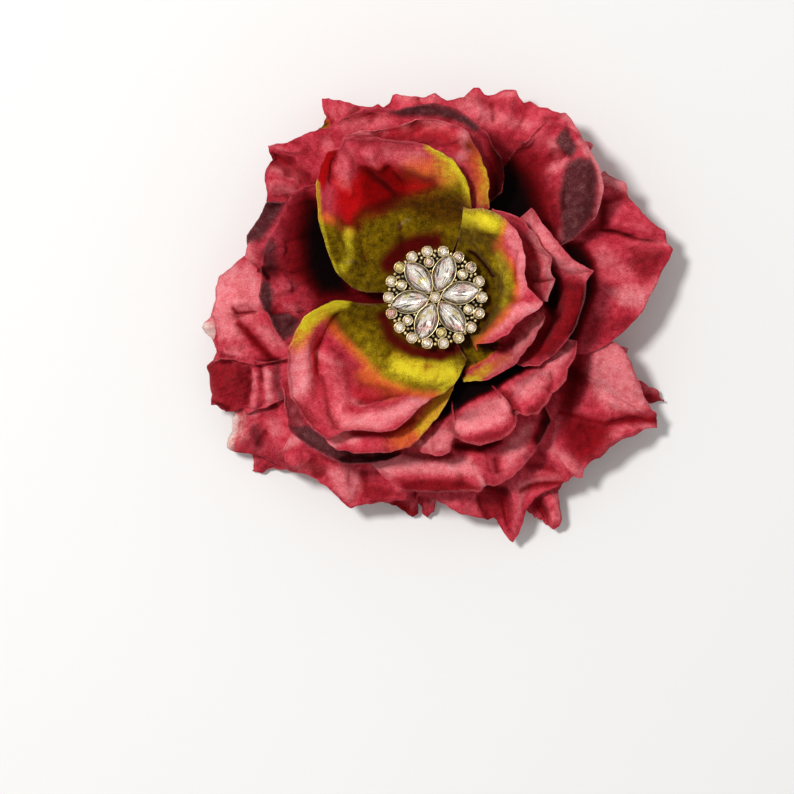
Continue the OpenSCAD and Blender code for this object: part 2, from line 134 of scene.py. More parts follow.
def removePiece(piece):
    bpy.data.objects.remove(piece, do_unlink=True)


def shade(red, green, blue):
    # a colour as a picture editor shows it, 0 to 255, made linear
    def linear(value):
        value = value / 255
        return value / 12.92 if value <= 0.04045 else ((value + 0.055) / 1.055) ** 2.4
    return (linear(red), linear(green), linear(blue), 1.0)


mixSockets = {"share": 0, "first": 6, "second": 7, "result": 2}  # of a Mix node set to colours


class Wire:
    # a socket of a material: sums on it add Math nodes, and node() adds any other node
    def __init__(self, tree, socket=None):
        self.tree = tree
        self.socket = socket

    def node(self, kind, settings=None, inputs=None, out=0):
        made = self.tree.nodes.new(kind)
        for key, value in (settings or {}).items():
            if key == "stops":
                while len(made.color_ramp.elements) < len(value):
                    made.color_ramp.elements.new(1.0)
                for element, (place, colour) in zip(made.color_ramp.elements, value):
                    element.position = place
                    element.color = colour
            else:
                setattr(made, key, value)
        for key, value in (inputs or {}).items():
            if isinstance(value, Wire):
                self.tree.links.new(value.socket, made.inputs[key])
            else:
                made.inputs[key].default_value = value
        return Wire(self.tree, made.outputs[out] if len(made.outputs) else None)

    def sum(self, operation, first, second):
        return self.node("ShaderNodeMath", {"operation": operation}, {0: first, 1: second})

    def __add__(self, other):
        return self.sum("ADD", self, other)

    def __radd__(self, other):
        return self.sum("ADD", other, self)

    def __sub__(self, other):
        return self.sum("SUBTRACT", self, other)

    def __rsub__(self, other):
        return self.sum("SUBTRACT", other, self)

    def __mul__(self, other):
        return self.sum("MULTIPLY", self, other)

    def ramp(self, low, high):
        return self.node("ShaderNodeMapRange", {"interpolation_type": "SMOOTHSTEP"},
                         {"Value": self, "From Min": low, "From Max": high})

    def blend(self, share, first, second, kind):
        inputs = {mixSockets["share"]: share, mixSockets["first"]: first, mixSockets["second"]: second}
        return self.node("ShaderNodeMix", {"data_type": "RGBA", "blend_type": kind}, inputs,
                         out=mixSockets["result"])

    def mix(self, first, second, kind="MIX"):
        # two colours, shared out by this value
        return self.blend(self, first, second, kind)

    def over(self, colour, kind):
        # this colour laid over another in full
        return self.blend(1.0, colour, self, kind)

    def clouds(self, scale, detail, distortion=0.0):
        # uneven patches, spread by this place
        return self.node("ShaderNodeTexNoise", None,
                         {"Vector": self, "Scale": scale, "Detail": detail, "Distortion": distortion})

    def bump(self, strength, distance):
        # this height as relief, its distance in millimetres
        return self.node("ShaderNodeBump", None, {"Height": self, "Strength": strength, "Distance": distance * mm})


def startMaterial(name):
    # a new material, a wire to build on, and the place in the piece
    made = bpy.data.materials.new(name)
    made.use_nodes = True
    made.node_tree.nodes.clear()
    start = Wire(made.node_tree)
    return made, start, start.node("ShaderNodeTexCoord", out="Object")


def finishMaterial(start, inputs):
    surface = start.node("ShaderNodeBsdfPrincipled", None, inputs)
    start.node("ShaderNodeOutputMaterial", None, {"Surface": surface})


# Camera, straight onto the flower's face; lines drawn from the front are true to size at trueZ
camera = {"x": -10.26, "y": -26.73, "height": 1000.0, "trueZ": 25.0, "lens": 163.72, "sensor": 36.0,
          "clip": (0.05, 20.0)}

bpy.ops.object.camera_add(location=spot(camera["x"], camera["y"], camera["height"]), rotation=(0, 0, 0))
eye = bpy.context.object
eye.name = "frontCamera"
eye.data.lens = camera["lens"]
eye.data.sensor_width = camera["sensor"]
eye.data.clip_start, eye.data.clip_end = camera["clip"]
bpy.context.scene.camera = eye
bpy.context.scene.view_settings.view_transform = "Standard"
print("camera set")

core = {"topR": 6.5, "ledgeW": 1.4, "ledgeH": 1.7, "ledges": 10, "firstZ": 10.5}
button = {"r": 14.1, "plateZ": 29.0, "stoneZ": 30.0}

# Petals: cloth, stiffened and pressed to shape, each glued by its base to a ledge of the core
petalCloth = {"reach": 50.0, "cadThickness": 0.6, "thickness": 0.3, "cutShare": 0.7, "columns": 121, "bodyRows": 60,
              "lipRows": 14, "rounding": 0.46, "tuck": 0.1, "leastZ": 1.2, "sideBow": 0.3, "bowedBelow": 5,
              "narrowLip": 6, "narrowTurn": 0.6, "ruffleR": 0.4, "ruffleZ": 0.8, "ruffleTurn": 0.3, "fray": 0.13}
cutting = {"farthest": 5.0, "fadeColumns": 9, "from": 0.45, "wander": [(0.35, 4.0, 7), (0.25, 1.8, 9)]}
folding = {"pleat": 0.8, "pleatL": 9.0, "crease": 0.55, "creaseL": 11.0, "crinkle": 0.3, "crinkleL": 5.5,
           "crumple": 0.2, "crumpleL": 3.8, "grain": 0.08, "grainL": 1.7, "drawn": 2.0, "valley": 1.0, "ridge": 1.4}
# painted light on the petals: highlight on ridges, shade in creases and at the bases (less on the undersides), and
# the width of a faint pink at cut edges
lightPainting = {"pale": 0.22, "crease": 0.7, "dark": 0.62, "baseShadeBelow": 0.3, "edgeW": (0.1, 0.6)}
# colours of the cloth; the pink is painted highlight and the faint tint at cut edges, the wine and near-black are
# painted shade, the maroon is painted shade round the button and along folds, and the cream also gives small
# painted glints
clothColours = {"crimson": shade(198, 42, 62), "rose": shade(230, 82, 97), "deep": shade(156, 20, 42),
        "scarlet": shade(206, 14, 20), "orange": shade(230, 104, 48), "amber": shade(230, 162, 46),
        "olive": shade(82, 58, 0), "moss": shade(132, 104, 4), "yellow": shade(244, 222, 46),
        "smoke": shade(68, 40, 42), "ash": shade(116, 86, 86), "pink": shade(255, 148, 154),
        "cream": shade(246, 214, 204), "wine": shade(160, 56, 72), "maroon": shade(84, 6, 4),
        "rust": shade(128, 34, 6), "night": shade(8, 0, 1)}
# Base: first and last angle. Belly: share of the way out, and rise. Cut: width and length of the flat cloth.
# Rim: angle, reach beyond the button, rise over the ledge, turn of the lip; curl is the lip's radius. Reaches,
# rises and curls are in hundredths of the cloth's reach. The outline is the cut edge as seen from the front.
# Folds: height, width, line. Washes fill the left of a line, or the inside of a closed one, and strokes follow
# it: layer, amount, softness, line. A layer is a dye or painted light: painted highlight on lit ridges and rims,
# painted shade in creases, hollows, gaps and round the button, small painted glints, and a grey that is partly a
# tint of the cloth and partly painted shade. The painted shade of the base fades out between two shares of the way.
petals = {
    "inner_petal_left": {
        "ledge": 9, "base": (70, 172), "belly": (0.55, 1), "curl": 3, "cut": (48, 48), "slot": "petal_two_tone",
        "baseShade": (-0.2, 0.1), "crumple": 0.7, "underside": 0.2,
        "rim": [
            (68, 29, 16, 20), (80, 44, 28, 30), (90, 52, 34, 60), (101, 57, 35, 70), (112, 63, 35, 80),
            (120, 70, 34, 60), (130, 68, 31, 30), (140, 56, 28, 20), (150, 41, 21, 20), (167, 23, 12, 20),
            (175, 6, 5, 20)],
        "outline": [
            (10, 24), (9.3, 28), (8.3, 32), (6.5, 35), (4.5, 37.5), (1.5, 39.5), (-2, 41.3), (-6, 42.3),
            (-10, 42.5), (-15.5, 43.3), (-20, 43), (-24.8, 43.4), (-25.8, 40.2), (-29.3, 39.6), (-30.5, 36),
            (-31.8, 32), (-32, 28), (-31.5, 24), (-31, 19.5), (-29.7, 15), (-28.3, 11), (-26.3, 6.5), (-22.5, 3)],
        "folds": [
            (-0.8, 1.2, [(-20, 36), (-16, 32), (-10, 28)]), (-0.7, 1.1, [(-14, 36.5), (-9, 31), (-6, 28)]),
            (-0.3, 0.9, [(-25, 41), (-21, 36.5), (-19.5, 33)]), (0.9, 1.6, [(-18.5, 41), (-17, 38), (-14, 34)]),
            (-0.9, 1.1, [(-26.3, 40.5), (-27.5, 35), (-28, 29)]), (0.6, 1.5, [(-24, 38), (-23.5, 32), (-23, 26)]),
            (0.7, 2.0, [(-12, 38), (-5, 36), (0, 32)]), (0.6, 1.6, [(-29, 24), (-27, 17), (-24, 9)]),
            (-0.5, 1.4, [(-20.5, 24), (-20, 16), (-18, 8)]), (-0.5, 1.4, [(-10, 23), (-9, 15), (-8, 8)])],
        "washes": [
            ("olive", 1, 5.5, [(14, 37), (6, 32), (-2, 28), (-10, 26), (-15, 23), (-19, 22), (-23, 17), (-27, 20),
                (-36, 22)]),
            ("red", 0.95, 3.4, [(-27, 33), (-27, 23), (-24, 17.5), (-18, 18.5), (-12, 22.5), (-4, 26), (1, 28.5),
                (0, 32), (-7, 34), (-14, 37), (-20, 36), (-22, 32.5), (-27, 33)]),
            ("red", 0.9, 1.2, [(-30, 41), (-26.3, 40), (-27.5, 34), (-30, 29), (-33, 33), (-30, 41)]),
            ("crease", 0.85, 2.8, [(-20, 35), (-14, 36), (-6, 31), (-8, 26.5), (-15, 23), (-20, 26), (-20, 35)]),
            ("dark", 0.42, 3.0, [(-6, 22), (-8, 27), (2, 29), (12, 28), (12, 20), (2, 19), (-6, 22)])],
        "strokes": [
            ("yellow", 0.8, 1.8, [(-1, 41), (4, 37.5), (8, 31), (9.5, 26)]),
            ("yellow", 0.4, 4.5, [(3, 36), (6, 31)]), ("olive", 0.33, 5, [(-6, 34), (2, 34)]),
            ("yellow", 0.6, 0.9, [(-32, 31), (-31.5, 23), (-29, 13), (-26, 6)]),
            ("yellow", 0.62, 2.2, [(-23.5, 17), (-23.5, 11), (-25, 8)]),
            # the two small cream strokes on the olive are painted glints
            ("yellow", 0.3, 3.5, [(-9, 21), (-6, 18), (3, 19)]), ("cream", 0.3, 0.8, [(-24, 9.6), (-22, 10)]),
            ("cream", 0.25, 0.7, [(-10, 19), (-7, 21.5)]),
            ("stain", 0.95, 3.4, [(-12, 9), (-9, 13), (-4, 15), (0, 15.5)]),
            ("yellow", 0.5, 1.2, [(-1, 16.5), (2, 15.5)]), ("pale", 0.4, 2.0, [(-18, 40), (-16.5, 37)]),
            ("pale", 0.45, 3.0, [(-13, 39.5), (-4, 38)]), ("pale", 0.3, 1.8, [(-22.5, 39), (-22, 36)]),
            ("pale", 0.4, 2.2, [(-25, 37), (-24.5, 31)]), ("stain", 0.6, 1.1, [(-20, 35), (-16, 31.5), (-11, 28)]),
            ("stain", 0.5, 1.0, [(-14, 35.5), (-9, 31)]),
            ("crease", 0.35, 0.7, [(-25, 41), (-21, 36.5), (-19.5, 33)]), ("red", 0.5, 3, [(-8, 29.5), (4, 29)]),
            ("stain", 0.5, 2.6, [(-19, 24), (-13, 24.5), (-6, 25)]),
            ("crease", 0.5, 1.6, [(-20, 42), (-12, 41.5), (-6, 41)])],
    },
    "inner_petal_right": {
        "ledge": 9, "base": (-40, 60), "belly": (0.8, 0), "curl": 9, "cut": (46, 31), "slot": "petal_two_tone",
        "baseShade": (-0.1, 0.25), "crumple": 0.6, "underside": 0.1,
        "rim": [
            (-51, 9, 10, 30), (-28, 10, 22, 70), (-10, 13, 28, 95), (5, 15, 29, 95), (22, 15, 29, 95),
            (41, 14, 29, 95), (57, 15, 28, 95), (71, 15, 22, 60)],
        "outline": [
            (11, -12.5), (16, -11.8), (19.5, -9.8), (21.8, -7.2), (24.5, -5), (28, -3), (29.3, -1.4), (27, 0.8),
            (25, 3), (24.5, 7), (24.5, 11), (23.3, 15.5), (21.5, 18.8), (19, 21.5), (16, 23.3), (12.5, 24.3),
            (9, 24)],
        "folds": [
            (-0.7, 0.8, [(9, 13), (12, 9.5), (15.5, 6)]), (0.5, 1.2, [(11, 15), (15, 11), (18, 6)]),
            (-0.5, 1.4, [(23, 16), (21, 9), (22, 1)]), (0.6, 1.5, [(16, -3), (22, -3), (27, -1)])],
        "washes": [
            ("olive", 1, 3.6, [(9, -14), (16, -7), (21.5, -1), (21.3, 4), (19.5, 9), (16.5, 14), (18, 20),
                (21, 26)])],
        "strokes": [
            ("yellow", 0.9, 3.2, [(6, 21.5), (12, 21.5), (15.5, 20)]),
            ("yellow", 0.5, 2.2, [(17, 11), (19.5, 4), (19, -2)]),
            ("pale", 0.75, 2.4, [(20, 17.5), (23, 12), (23, 4), (20, -3)]),
            ("pale", 0.8, 1.8, [(14, -10), (18, -7.5), (23, -3.5), (28, -2.2)]),
            ("dark", 0.7, 0.7, [(9.5, 12.5), (12.5, 9.5), (15.5, 6)]), ("dark", 0.25, 1.2, [(8, 18), (11, 14.5)]),
            ("dark", 0.4, 1.8, [(14, 3), (15, -3), (13, -8)]), ("stain", 0.35, 1.4, [(12, 12), (14, 7)])],
    },
    "inner_petal_low": {
        "ledge": 9, "base": (186, 293), "belly": (0.6, 0), "curl": 3, "cut": (50, 46), "slot": "petal_two_tone",
        "baseShade": (-0.2, 0.12), "crumple": 0.8, "underside": 0.15,
        "rim": [
            (187, 6, 4, 20), (182, 22, 12, 20), (185, 36, 20, 20), (192, 48, 25, 20), (202, 57, 28, 40),
            (213, 64, 28, 60), (224, 67, 28, 60), (234, 63, 28, 60), (243, 51, 29, 70), (255, 40, 28, 60),
            (268, 25, 24, 20), (283, 16, 15, 20), (297, 8, 9, 20)],
        "outline": [
            (-25.5, -0.4), (-28, -1), (-31, -2.6), (-35, -5), (-38, -9), (-39.8, -13.5), (-40, -20), (-39.3, -26.5),
            (-36, -31), (-33, -35.2), (-29, -38), (-26, -37), (-24.8, -35.9), (-20, -35.4), (-15, -36.2),
            (-11, -35.6), (-7, -33), (-4, -29.5), (-1.5, -27), (2.5, -25.5), (5, -23), (6.5, -20)],
        "folds": [
            (-0.8, 1.2, [(-24, -2), (-29, -9), (-31.2, -14), (-31.2, -19), (-30, -25)]),
            (0.9, 3.0, [(-33, -5), (-35.5, -13), (-35.5, -22), (-33, -30)]),
            (0.6, 1.6, [(-28.5, -13), (-28, -19), (-27, -24)]), (0.6, 2.0, [(-27, -14), (-25, -22), (-25, -33)]),
            (-0.7, 1.1, [(-29, -29), (-27, -33), (-25.5, -36)]), (0.8, 2.2, [(-21, -31), (-12, -31.5), (-3, -27)]),
            (-0.9, 1.2, [(-22, -28.5), (-17, -27.2), (-12, -26), (-6, -25.5)]),
            (-0.5, 1.5, [(-12, -13), (-6, -18), (2, -18)])],
        "washes": [
            ("olive", 1, 4.2, [(-30, -3), (-26, -9), (-22, -13.5), (-17, -18.5), (-12, -22.5), (-6, -25),
                (8, -25.5)]),
            ("red", 0.45, 1.8, [(-21, -29), (-12, -26), (-8, -25), (-13, -23.5), (-20, -22), (-24, -25),
                (-21, -29)]),
            ("crease", 0.45, 3.0, [(-29.5, -12), (-24, -12.5), (-21, -17), (-19, -21), (-22, -25), (-27, -24),
                (-30, -18), (-29.5, -12)])],
        "strokes": [
            ("yellow", 1, 2.4, [(-25, -1), (-31, -3), (-36, -7)]), ("yellow", 0.4, 2.6, [(-36, -7), (-38, -11)]),
            ("olive", 0.3, 3, [(-36, -9), (-38, -13)]), ("olive", 0.33, 3.5, [(-19, -21), (-12, -24.5)]),
            ("yellow", 0.95, 4.4, [(-9, -18.5), (4, -20.5)]), ("yellow", 0.45, 4, [(-18, -14), (-12, -19)]),
            ("yellow", 0.3, 3, [(-22, -9), (-17, -13)]),
            ("red", 0.8, 1.5, [(-31, -11), (-32.8, -15), (-32.2, -20)]),
            ("red", 0.4, 1.8, [(-32.2, -20), (-31.2, -26)]), ("stain", 0.3, 0.9, [(-26, -4.5), (-30.5, -9.5)]),
            ("stain", 0.5, 1.1, [(-31, -11), (-32.4, -14), (-32, -20)]),
            ("stain", 0.85, 2.4, [(-14, -5), (-12, -10.5), (-6, -14.5), (2, -15.2), (8, -12)]),
            ("yellow", 0.6, 2.4, [(2, -24), (6, -19)]), ("pale", 0.85, 3.0, [(-37, -13), (-36.8, -20), (-37, -25)]),
            ("pale", 0.9, 2.2, [(-24, -33), (-16, -33.5), (-9, -31), (-3, -27.5)]),
            ("pale", 0.5, 1.3, [(-31.5, -15), (-28.5, -17.5), (-26, -18)]),
            ("pale", 0.4, 3.0, [(-28, -20), (-25, -27), (-27, -33)]),
            ("pale", 0.6, 1.4, [(-22.5, -28), (-19.5, -28.5)]), ("crease", 0.6, 1.8, [(-37, -29), (-33, -33)]),
            ("crease", 0.45, 1.4, [(-22, -19), (-20, -25)]),
            ("crease", 0.65, 0.8, [(-30.3, -21), (-29.5, -27), (-28, -33)]),
            ("crease", 0.5, 1.0, [(-19, -27.5), (-13, -26.2), (-7, -25.5)])],
    },
    "second_petal_right": {
        "ledge": 8, "base": (0, 50), "belly": (0.85, 3), "curl": 4, "cut": (27, 31), "slot": "petal_two_tone",
        "baseShade": (0.3, 0.9), "underside": 0.2,
        "rim": [
            (-2, 27, 19, 20), (6, 33, 22, 60), (14, 36, 24, 60), (25, 34, 24, 60), (36, 32, 24, 50),
            (47, 31, 22, 20), (57, 27, 16, 20)],
        "outline": [(30, -1), (31.5, 2.5), (32.5, 5), (31.5, 7.5), (31, 10.5), (28.5, 14), (26.5, 17.5), (24, 20)],
        "folds": [(0.5, 1.4, [(26, 2), (29, 5), (31, 9)])],
        "strokes": [
            ("red", 0.45, 4, [(27, -2), (28, 6), (26, 13)]),
            ("pale", 0.75, 1.5, [(26, 17), (29, 12), (31, 8), (32, 4), (30, -1)]),
            ("pale", 0.35, 2.0, [(27.5, 9), (29, 3)]), ("dark", 0.4, 1.2, [(25, 8), (26, 2)]),
            ("crease", 0.7, 0.8, [(27, 4.5), (29.5, 5.2), (31.5, 5)])],
    },
    "second_petal_low_right": {
        "ledge": 8, "base": (290, 345), "belly": (0.8, 1), "curl": 4, "cut": (27, 26), "slot": "petal_two_tone",
        "baseShade": (0.05, 0.4), "underside": 0.1,
        "rim": [
            (289, 17, 11, 20), (301, 22, 16, 30), (315, 26, 20, 60), (329, 27, 22, 60), (343, 27, 22, 60),
            (352, 29, 19, 20)],
        "outline": [(7.8, -22.6), (12.5, -22.3), (17, -20.5), (21, -18), (24.5, -14), (27.5, -9), (29.5, -5)],
        "folds": [(-0.6, 1.3, [(11, -13), (17, -13), (22, -10)])],
        "washes": [("olive", 0.9, 1.0, [(5, -22), (10, -18.5), (14, -16), (17, -13), (17, -6)])],
        "strokes": [
            ("yellow", 0.8, 1.4, [(7.5, -22.5), (11.5, -22)]),
            ("pale", 0.75, 2.0, [(14, -19.5), (20, -16), (25, -10), (28, -6)]),
            ("olive", 0.3, 2.0, [(12, -20.5), (19, -16)]), ("yellow", 0.4, 1.8, [(11, -21), (14, -19)]),
            ("dark", 0.5, 1.4, [(11, -12.5), (17, -12.5)]), ("dark", 0.95, 1.0, [(6.8, -14), (7.6, -21)])],
    },
    "second_petal_top": {
        "ledge": 7, "base": (70, 130), "belly": (0.6, 6), "curl": 3, "cut": (40, 45), "slot": "petal_two_tone",
        "baseShade": (0.3, 0.6), "underside": 0.1,
        "rim": [
            (59, 28, 19, 20), (65, 40, 25, 20), (72, 54, 31, 40), (79, 62, 34, 60), (89, 66, 35, 60),
            (100, 67, 35, 60), (110, 67, 34, 50), (120, 69, 31, 20)],
        "outline": [
            (14.6, 25), (14, 29), (14.3, 32), (13.5, 35), (12.3, 38.5), (10, 42.5), (9, 45), (6, 46.8), (0, 48),
            (-5, 48.3), (-10, 46.5), (-15.5, 45), (-19, 45)],
        "folds": [
            (-0.7, 1.4, [(-6, 48), (-4, 44)]), (0.6, 1.6, [(3, 47), (6, 42)]),
            (-0.6, 1.2, [(-16, 45.5), (-14, 43)])],
        "strokes": [
            ("olive", 0.34, 3.2, [(10, 41), (12, 35), (13, 28)]),
            ("yellow", 0.45, 1.6, [(12.5, 37), (14, 31), (14.5, 26)]), ("yellow", 0.3, 2.5, [(13, 30), (13, 26)]),
            ("red", 0.5, 4.5, [(-12, 45), (0, 45), (8, 41)]), ("pale", 0.75, 2.0, [(8, 44), (9, 40), (7, 38)]),
            ("pale", 0.45, 2.4, [(-8, 46.5), (2, 47)]), ("pale", 0.6, 1.6, [(-22, 44), (-14, 44.5)]),
            ("crease", 0.7, 0.9, [(-17, 44.5), (-15.5, 43.5)])],
    },
    "second_petal_low": {
        "ledge": 7, "base": (225, 275), "belly": (0.6, 5), "curl": 3, "cut": (29, 42), "slot": "petal_two_tone",
        "baseShade": (0.4, 0.75), "underside": 0.3,
        "rim": [
            (229, 64, 21, 20), (236, 68, 25, 40), (244, 63, 28, 50), (252, 58, 28, 50), (260, 52, 26, 40),
            (267, 42, 24, 20), (275, 30, 19, 20), (282, 20, 14, 20)],
        "outline": [
            (-28.3, -39.7), (-26.3, -41), (-22, -41.6), (-17, -42), (-12, -41.6), (-7, -40.2), (-3.5, -36.8),
            (0, -32.8), (2.5, -28.8), (5, -24)],
        "folds": [(0.5, 1.6, [(-26, -38), (-16, -39)])],
        "strokes": [
            ("olive", 0.34, 5, [(-9, -38), (-2, -34), (4, -27)]),
            ("yellow", 0.5, 3.0, [(-3, -35.5), (1, -30), (5, -24)]), ("red", 0.15, 3, [(-24, -39), (-12, -40)]),
            ("crease", 0.8, 1.4, [(-22, -36.5), (-12, -36.5), (-6, -33.5)]),
            ("pale", 1, 1.9, [(-27.5, -39), (-25, -37.5), (-22, -38)]),
            ("crease", 0.4, 1.2, [(-22, -41), (-12, -41)])],
    },
    "middle_petal_right": {
        "ledge": 7, "base": (-45, 45), "belly": (0.8, 4), "curl": 6, "cut": (43, 38), "baseShade": (0.3, 0.7),
        "underside": 0.2,
        "rim": [
            (-38, 27, 19, 20), (-26, 38, 21, 30), (-13, 45, 22, 40), (-1, 49, 22, 60), (8, 54, 22, 60),
            (15, 48, 22, 60), (29, 43, 21, 60), (43, 41, 19, 20)],
        "outline": [
            (21, -18.3), (28, -18), (32, -15.3), (36, -10.5), (38.5, -5), (40.5, 0), (41, 4.5), (42.8, 7.4),
            (39, 9), (35.5, 12), (31.5, 17), (28, 22), (25.3, 25)],
        "folds": [
            (0.7, 1.8, [(25, 24), (30, 15), (37, 9)]), (-0.9, 1.6, [(33, 6), (31.5, -4), (27, -13)]),
            (0.8, 1.6, [(36, 4), (35, -5), (30, -14)]), (-0.8, 1.4, [(40, 3), (38.5, -4), (35, -11)])],
        "washes": [
            ("pale", 0.62, 1.2, [(25.3, 25), (28, 22), (31, 17.5), (36, 11), (42.5, 7), (41, 5), (36, 6.5),
                (32, 11), (28, 16.5), (23, 22), (25.3, 25)]),
            ("crease", 0.85, 2.0, [(33, 6), (39, 5), (43, 3), (39, -8), (32, -16), (22, -18), (24, -12), (30, -4),
                (33, 6)]),
            ("dark", 0.9, 1.6, [(30, 12), (34, 6), (33, -1), (31, -5), (29, -2), (29, 4), (30, 12)])],
        "strokes": [
            ("dark", 0.8, 1.6, [(42, 3), (39.5, -4), (37, -9)]),
            ("pale", 0.3, 1.2, [(36.5, 3), (35.5, -5), (31, -12)]), ("grey", 0.3, 3, [(30, -8), (25, -15)])],
    },
    "middle_petal_low_right": {
        "ledge": 6, "base": (265, 330), "belly": (0.7, 4), "curl": 11, "cut": (48, 35), "baseShade": (0.4, 0.7),
        "crumple": 0.9, "underside": 0.45,
        "rim": [
            (262, 47, 15, 40), (273, 39, 21, 80), (289, 34, 24, 90), (304, 33, 24, 90), (317, 36, 22, 90),
            (328, 42, 19, 80), (342, 49, 14, 40)],
        "outline": [
            (-6, -39), (-4, -41.7), (0, -43), (4.3, -42), (5.3, -40), (5, -38.3), (8, -39.3), (12, -40),
            (16, -39.3), (20, -37), (22, -34.5), (22.7, -31.5), (25, -32), (28, -31.5), (30, -28.5), (31.2, -26.8),
            (33.5, -24.5), (35.5, -22), (36, -19), (38, -16), (38.7, -12), (37.8, -8.8)],
        "folds": [
            (-2.0, 0.9, [(18, -24), (20.5, -28), (23, -32.5)]), (0.4, 2.8, [(22, -23), (26, -27), (28, -31)]),
            (0.5, 3.0, [(13, -28), (17, -32), (19, -36)]), (-0.5, 1.6, [(3, -33), (5, -37), (5, -41)]),
            (0.35, 2.4, [(6, -32), (9, -35), (10, -39)]), (-0.6, 1.6, [(30, -18), (32, -22), (31, -27)])],
        "washes": [
            ("pale", 0.72, 1.8, [(-6, -39), (5, -32.5), (12, -28), (19, -25), (21, -29), (20, -33.5), (12, -36),
                (6, -37.5), (4, -41), (-2, -42), (-6, -39)]),
            ("pale", 0.62, 1.8, [(20, -24.5), (27, -20), (33, -15), (37.5, -9.5), (37, -15), (33, -21), (27, -27),
                (23, -28), (20, -24.5)]),
            ("crease", 0.6, 1.2, [(6, -38), (12, -36.5), (20, -35), (22, -34), (18, -39.5), (10, -41), (6, -38)]),
            ("crease", 0.7, 1.4, [(24, -30), (28, -27.5), (31, -26), (30, -30), (26, -33), (24, -30)]),
            ("dark", 1, 1.2, [(-1, -34), (3, -31.8), (9, -28.2), (15, -25.2), (20, -22.3), (26, -18.6), (20, -16),
                (8, -18), (-4, -28), (-1, -34)])],
        "strokes": [
            ("grey", 0.45, 1.8, [(8, -32), (11, -30.5)]), ("grey", 0.4, 2.4, [(23, -23), (29, -20)]),
            ("grey", 0.25, 3, [(-3, -40), (4, -40.5)]), ("grey", 0.35, 1.8, [(12, -38), (19, -36)]),
            ("dark", 0.6, 0.5, [(18.5, -25.5), (20.5, -28.5), (22.5, -32)])],
    },
    "middle_petal_top": {
        "ledge": 5, "base": (75, 135), "belly": (0.6, 5), "curl": 4, "cut": (48, 47), "baseShade": (0.4, 0.8),
        "underside": 0.1,
        "rim": [
            (58, 38, 19, 20), (64, 52, 25, 30), (71, 62, 29, 60), (79, 68, 31, 70), (87, 73, 32, 80),
            (94, 75, 32, 80), (104, 76, 31, 60), (115, 77, 29, 40), (123, 77, 25, 20)],
        "outline": [
            (16, 40), (14.5, 44), (11, 47.5), (6, 51), (0, 52.6), (-5, 52.3), (-10, 51), (-15, 51.3), (-20, 51)],
        "folds": [(-0.5, 1.6, [(-18, 50), (-17, 46)])],
        "washes": [
            ("grey", 1, 1.6, [(-13, 50), (-8, 51.5), (-2, 52.8), (4, 51.5), (9, 49), (13, 46), (11, 44.5), (7, 47),
                (1, 48.8), (-5, 48.9), (-9, 48.8), (-13, 50)])],
        "strokes": [
            ("grey", 0.4, 2.5, [(9, 46), (15, 41)]), ("pale", 0.4, 2.8, [(-24, 47), (-14, 48)]),
            ("dark", 0.5, 0.9, [(-2, 53), (5, 51.6), (10, 49)]),
            ("dark", 0.7, 2.4, [(17, 26), (17.5, 34), (17, 41)]),
            ("crease", 0.9, 3.2, [(16, 24), (16.5, 34), (15.5, 42)])],
    },
    "middle_petal_left": {
        "ledge": 5, "base": (140, 200), "belly": (0.65, 5), "curl": 5, "cut": (43, 41), "baseShade": (0.4, 0.86),
        "underside": 0.1,
        "rim": [
            (136, 58, 24, 20), (145, 65, 24, 40), (153, 68, 25, 60), (160, 66, 25, 60), (169, 64, 25, 60),
            (177, 63, 25, 60), (186, 58, 24, 60), (194, 53, 21, 30), (198, 48, 19, 20)],
        "outline": [
            (-40, 24.5), (-42.5, 20), (-45, 16), (-46.3, 12), (-47.3, 8), (-47, 5), (-47.8, 1), (-47, -3),
            (-45, -4.2), (-44.5, -6), (-43, -9), (-41, -11.5)],
        "folds": [
            (-0.9, 1.8, [(-47, 8), (-40, 7), (-34, 6)]), (0.8, 2.0, [(-46, 14), (-40, 13)]),
            (-0.8, 1.6, [(-46, -4), (-38, -4), (-33, -3)]), (0.7, 1.8, [(-45, 2), (-38, 3)]),
            (0.6, 1.5, [(-42, -6), (-36, -4)])],
        "washes": [
            ("grey", 1, 1.4, [(-48, 1), (-46.5, 5), (-44.3, 4.5), (-43.5, 0), (-43.5, -3.5), (-46, -4), (-48, 1)]),
            ("grey", 1, 1.6, [(-45, -4), (-40, -3.5), (-36, -6), (-38, -10), (-41, -12), (-44, -8.5), (-45, -4)]),
            ("grey", 0.95, 1.6, [(-46, 26.5), (-41.5, 26), (-43, 22), (-46, 17.5), (-49, 18), (-46, 26.5)]),
            ("dark", 1, 5.5, [(-35, 28), (-31, 26), (-22, 20), (-22, 0), (-32, -1), (-36, 8), (-36.5, 18),
                (-35, 28)]),
            ("crease", 0.8, 3.5, [(-38, 28), (-30, 28), (-22, 0), (-38, 3), (-43, 10), (-42, 20), (-38, 28)])],
        "strokes": [
            ("grey", 0.85, 2.6, [(-45.2, 15), (-44.5, 11), (-43.5, 8)]),
            ("dark", 0.85, 1.2, [(-47, 8), (-45, 5.6)]), ("dark", 0.55, 0.9, [(-44.5, 25.5), (-42, 25.8)]),
            ("dark", 0.5, 0.9, [(-46, 14), (-46, 10)]), ("dark", 0.5, 0.8, [(-44.5, -3.8), (-43, -3.2)]),
            ("grey", 0.35, 1.8, [(-43, 5), (-41, 3)]), ("pale", 0.3, 1.4, [(-39.5, 3.5), (-37, 3.5)]),
            ("pale", 0.4, 1.5, [(-40, -2), (-36, -3)])],
    },
    "middle_petal_low_left": {
        "ledge": 5, "base": (205, 265), "belly": (0.7, 2), "curl": 5, "cut": (39, 44), "baseShade": (0.5, 0.85),
        "underside": 0.2,
        "rim": [
            (208, 66, 15, 20), (216, 73, 18, 30), (224, 76, 19, 50), (233, 75, 19, 60), (241, 71, 19, 60),
            (249, 66, 18, 40), (258, 58, 14, 20)],
        "outline": [
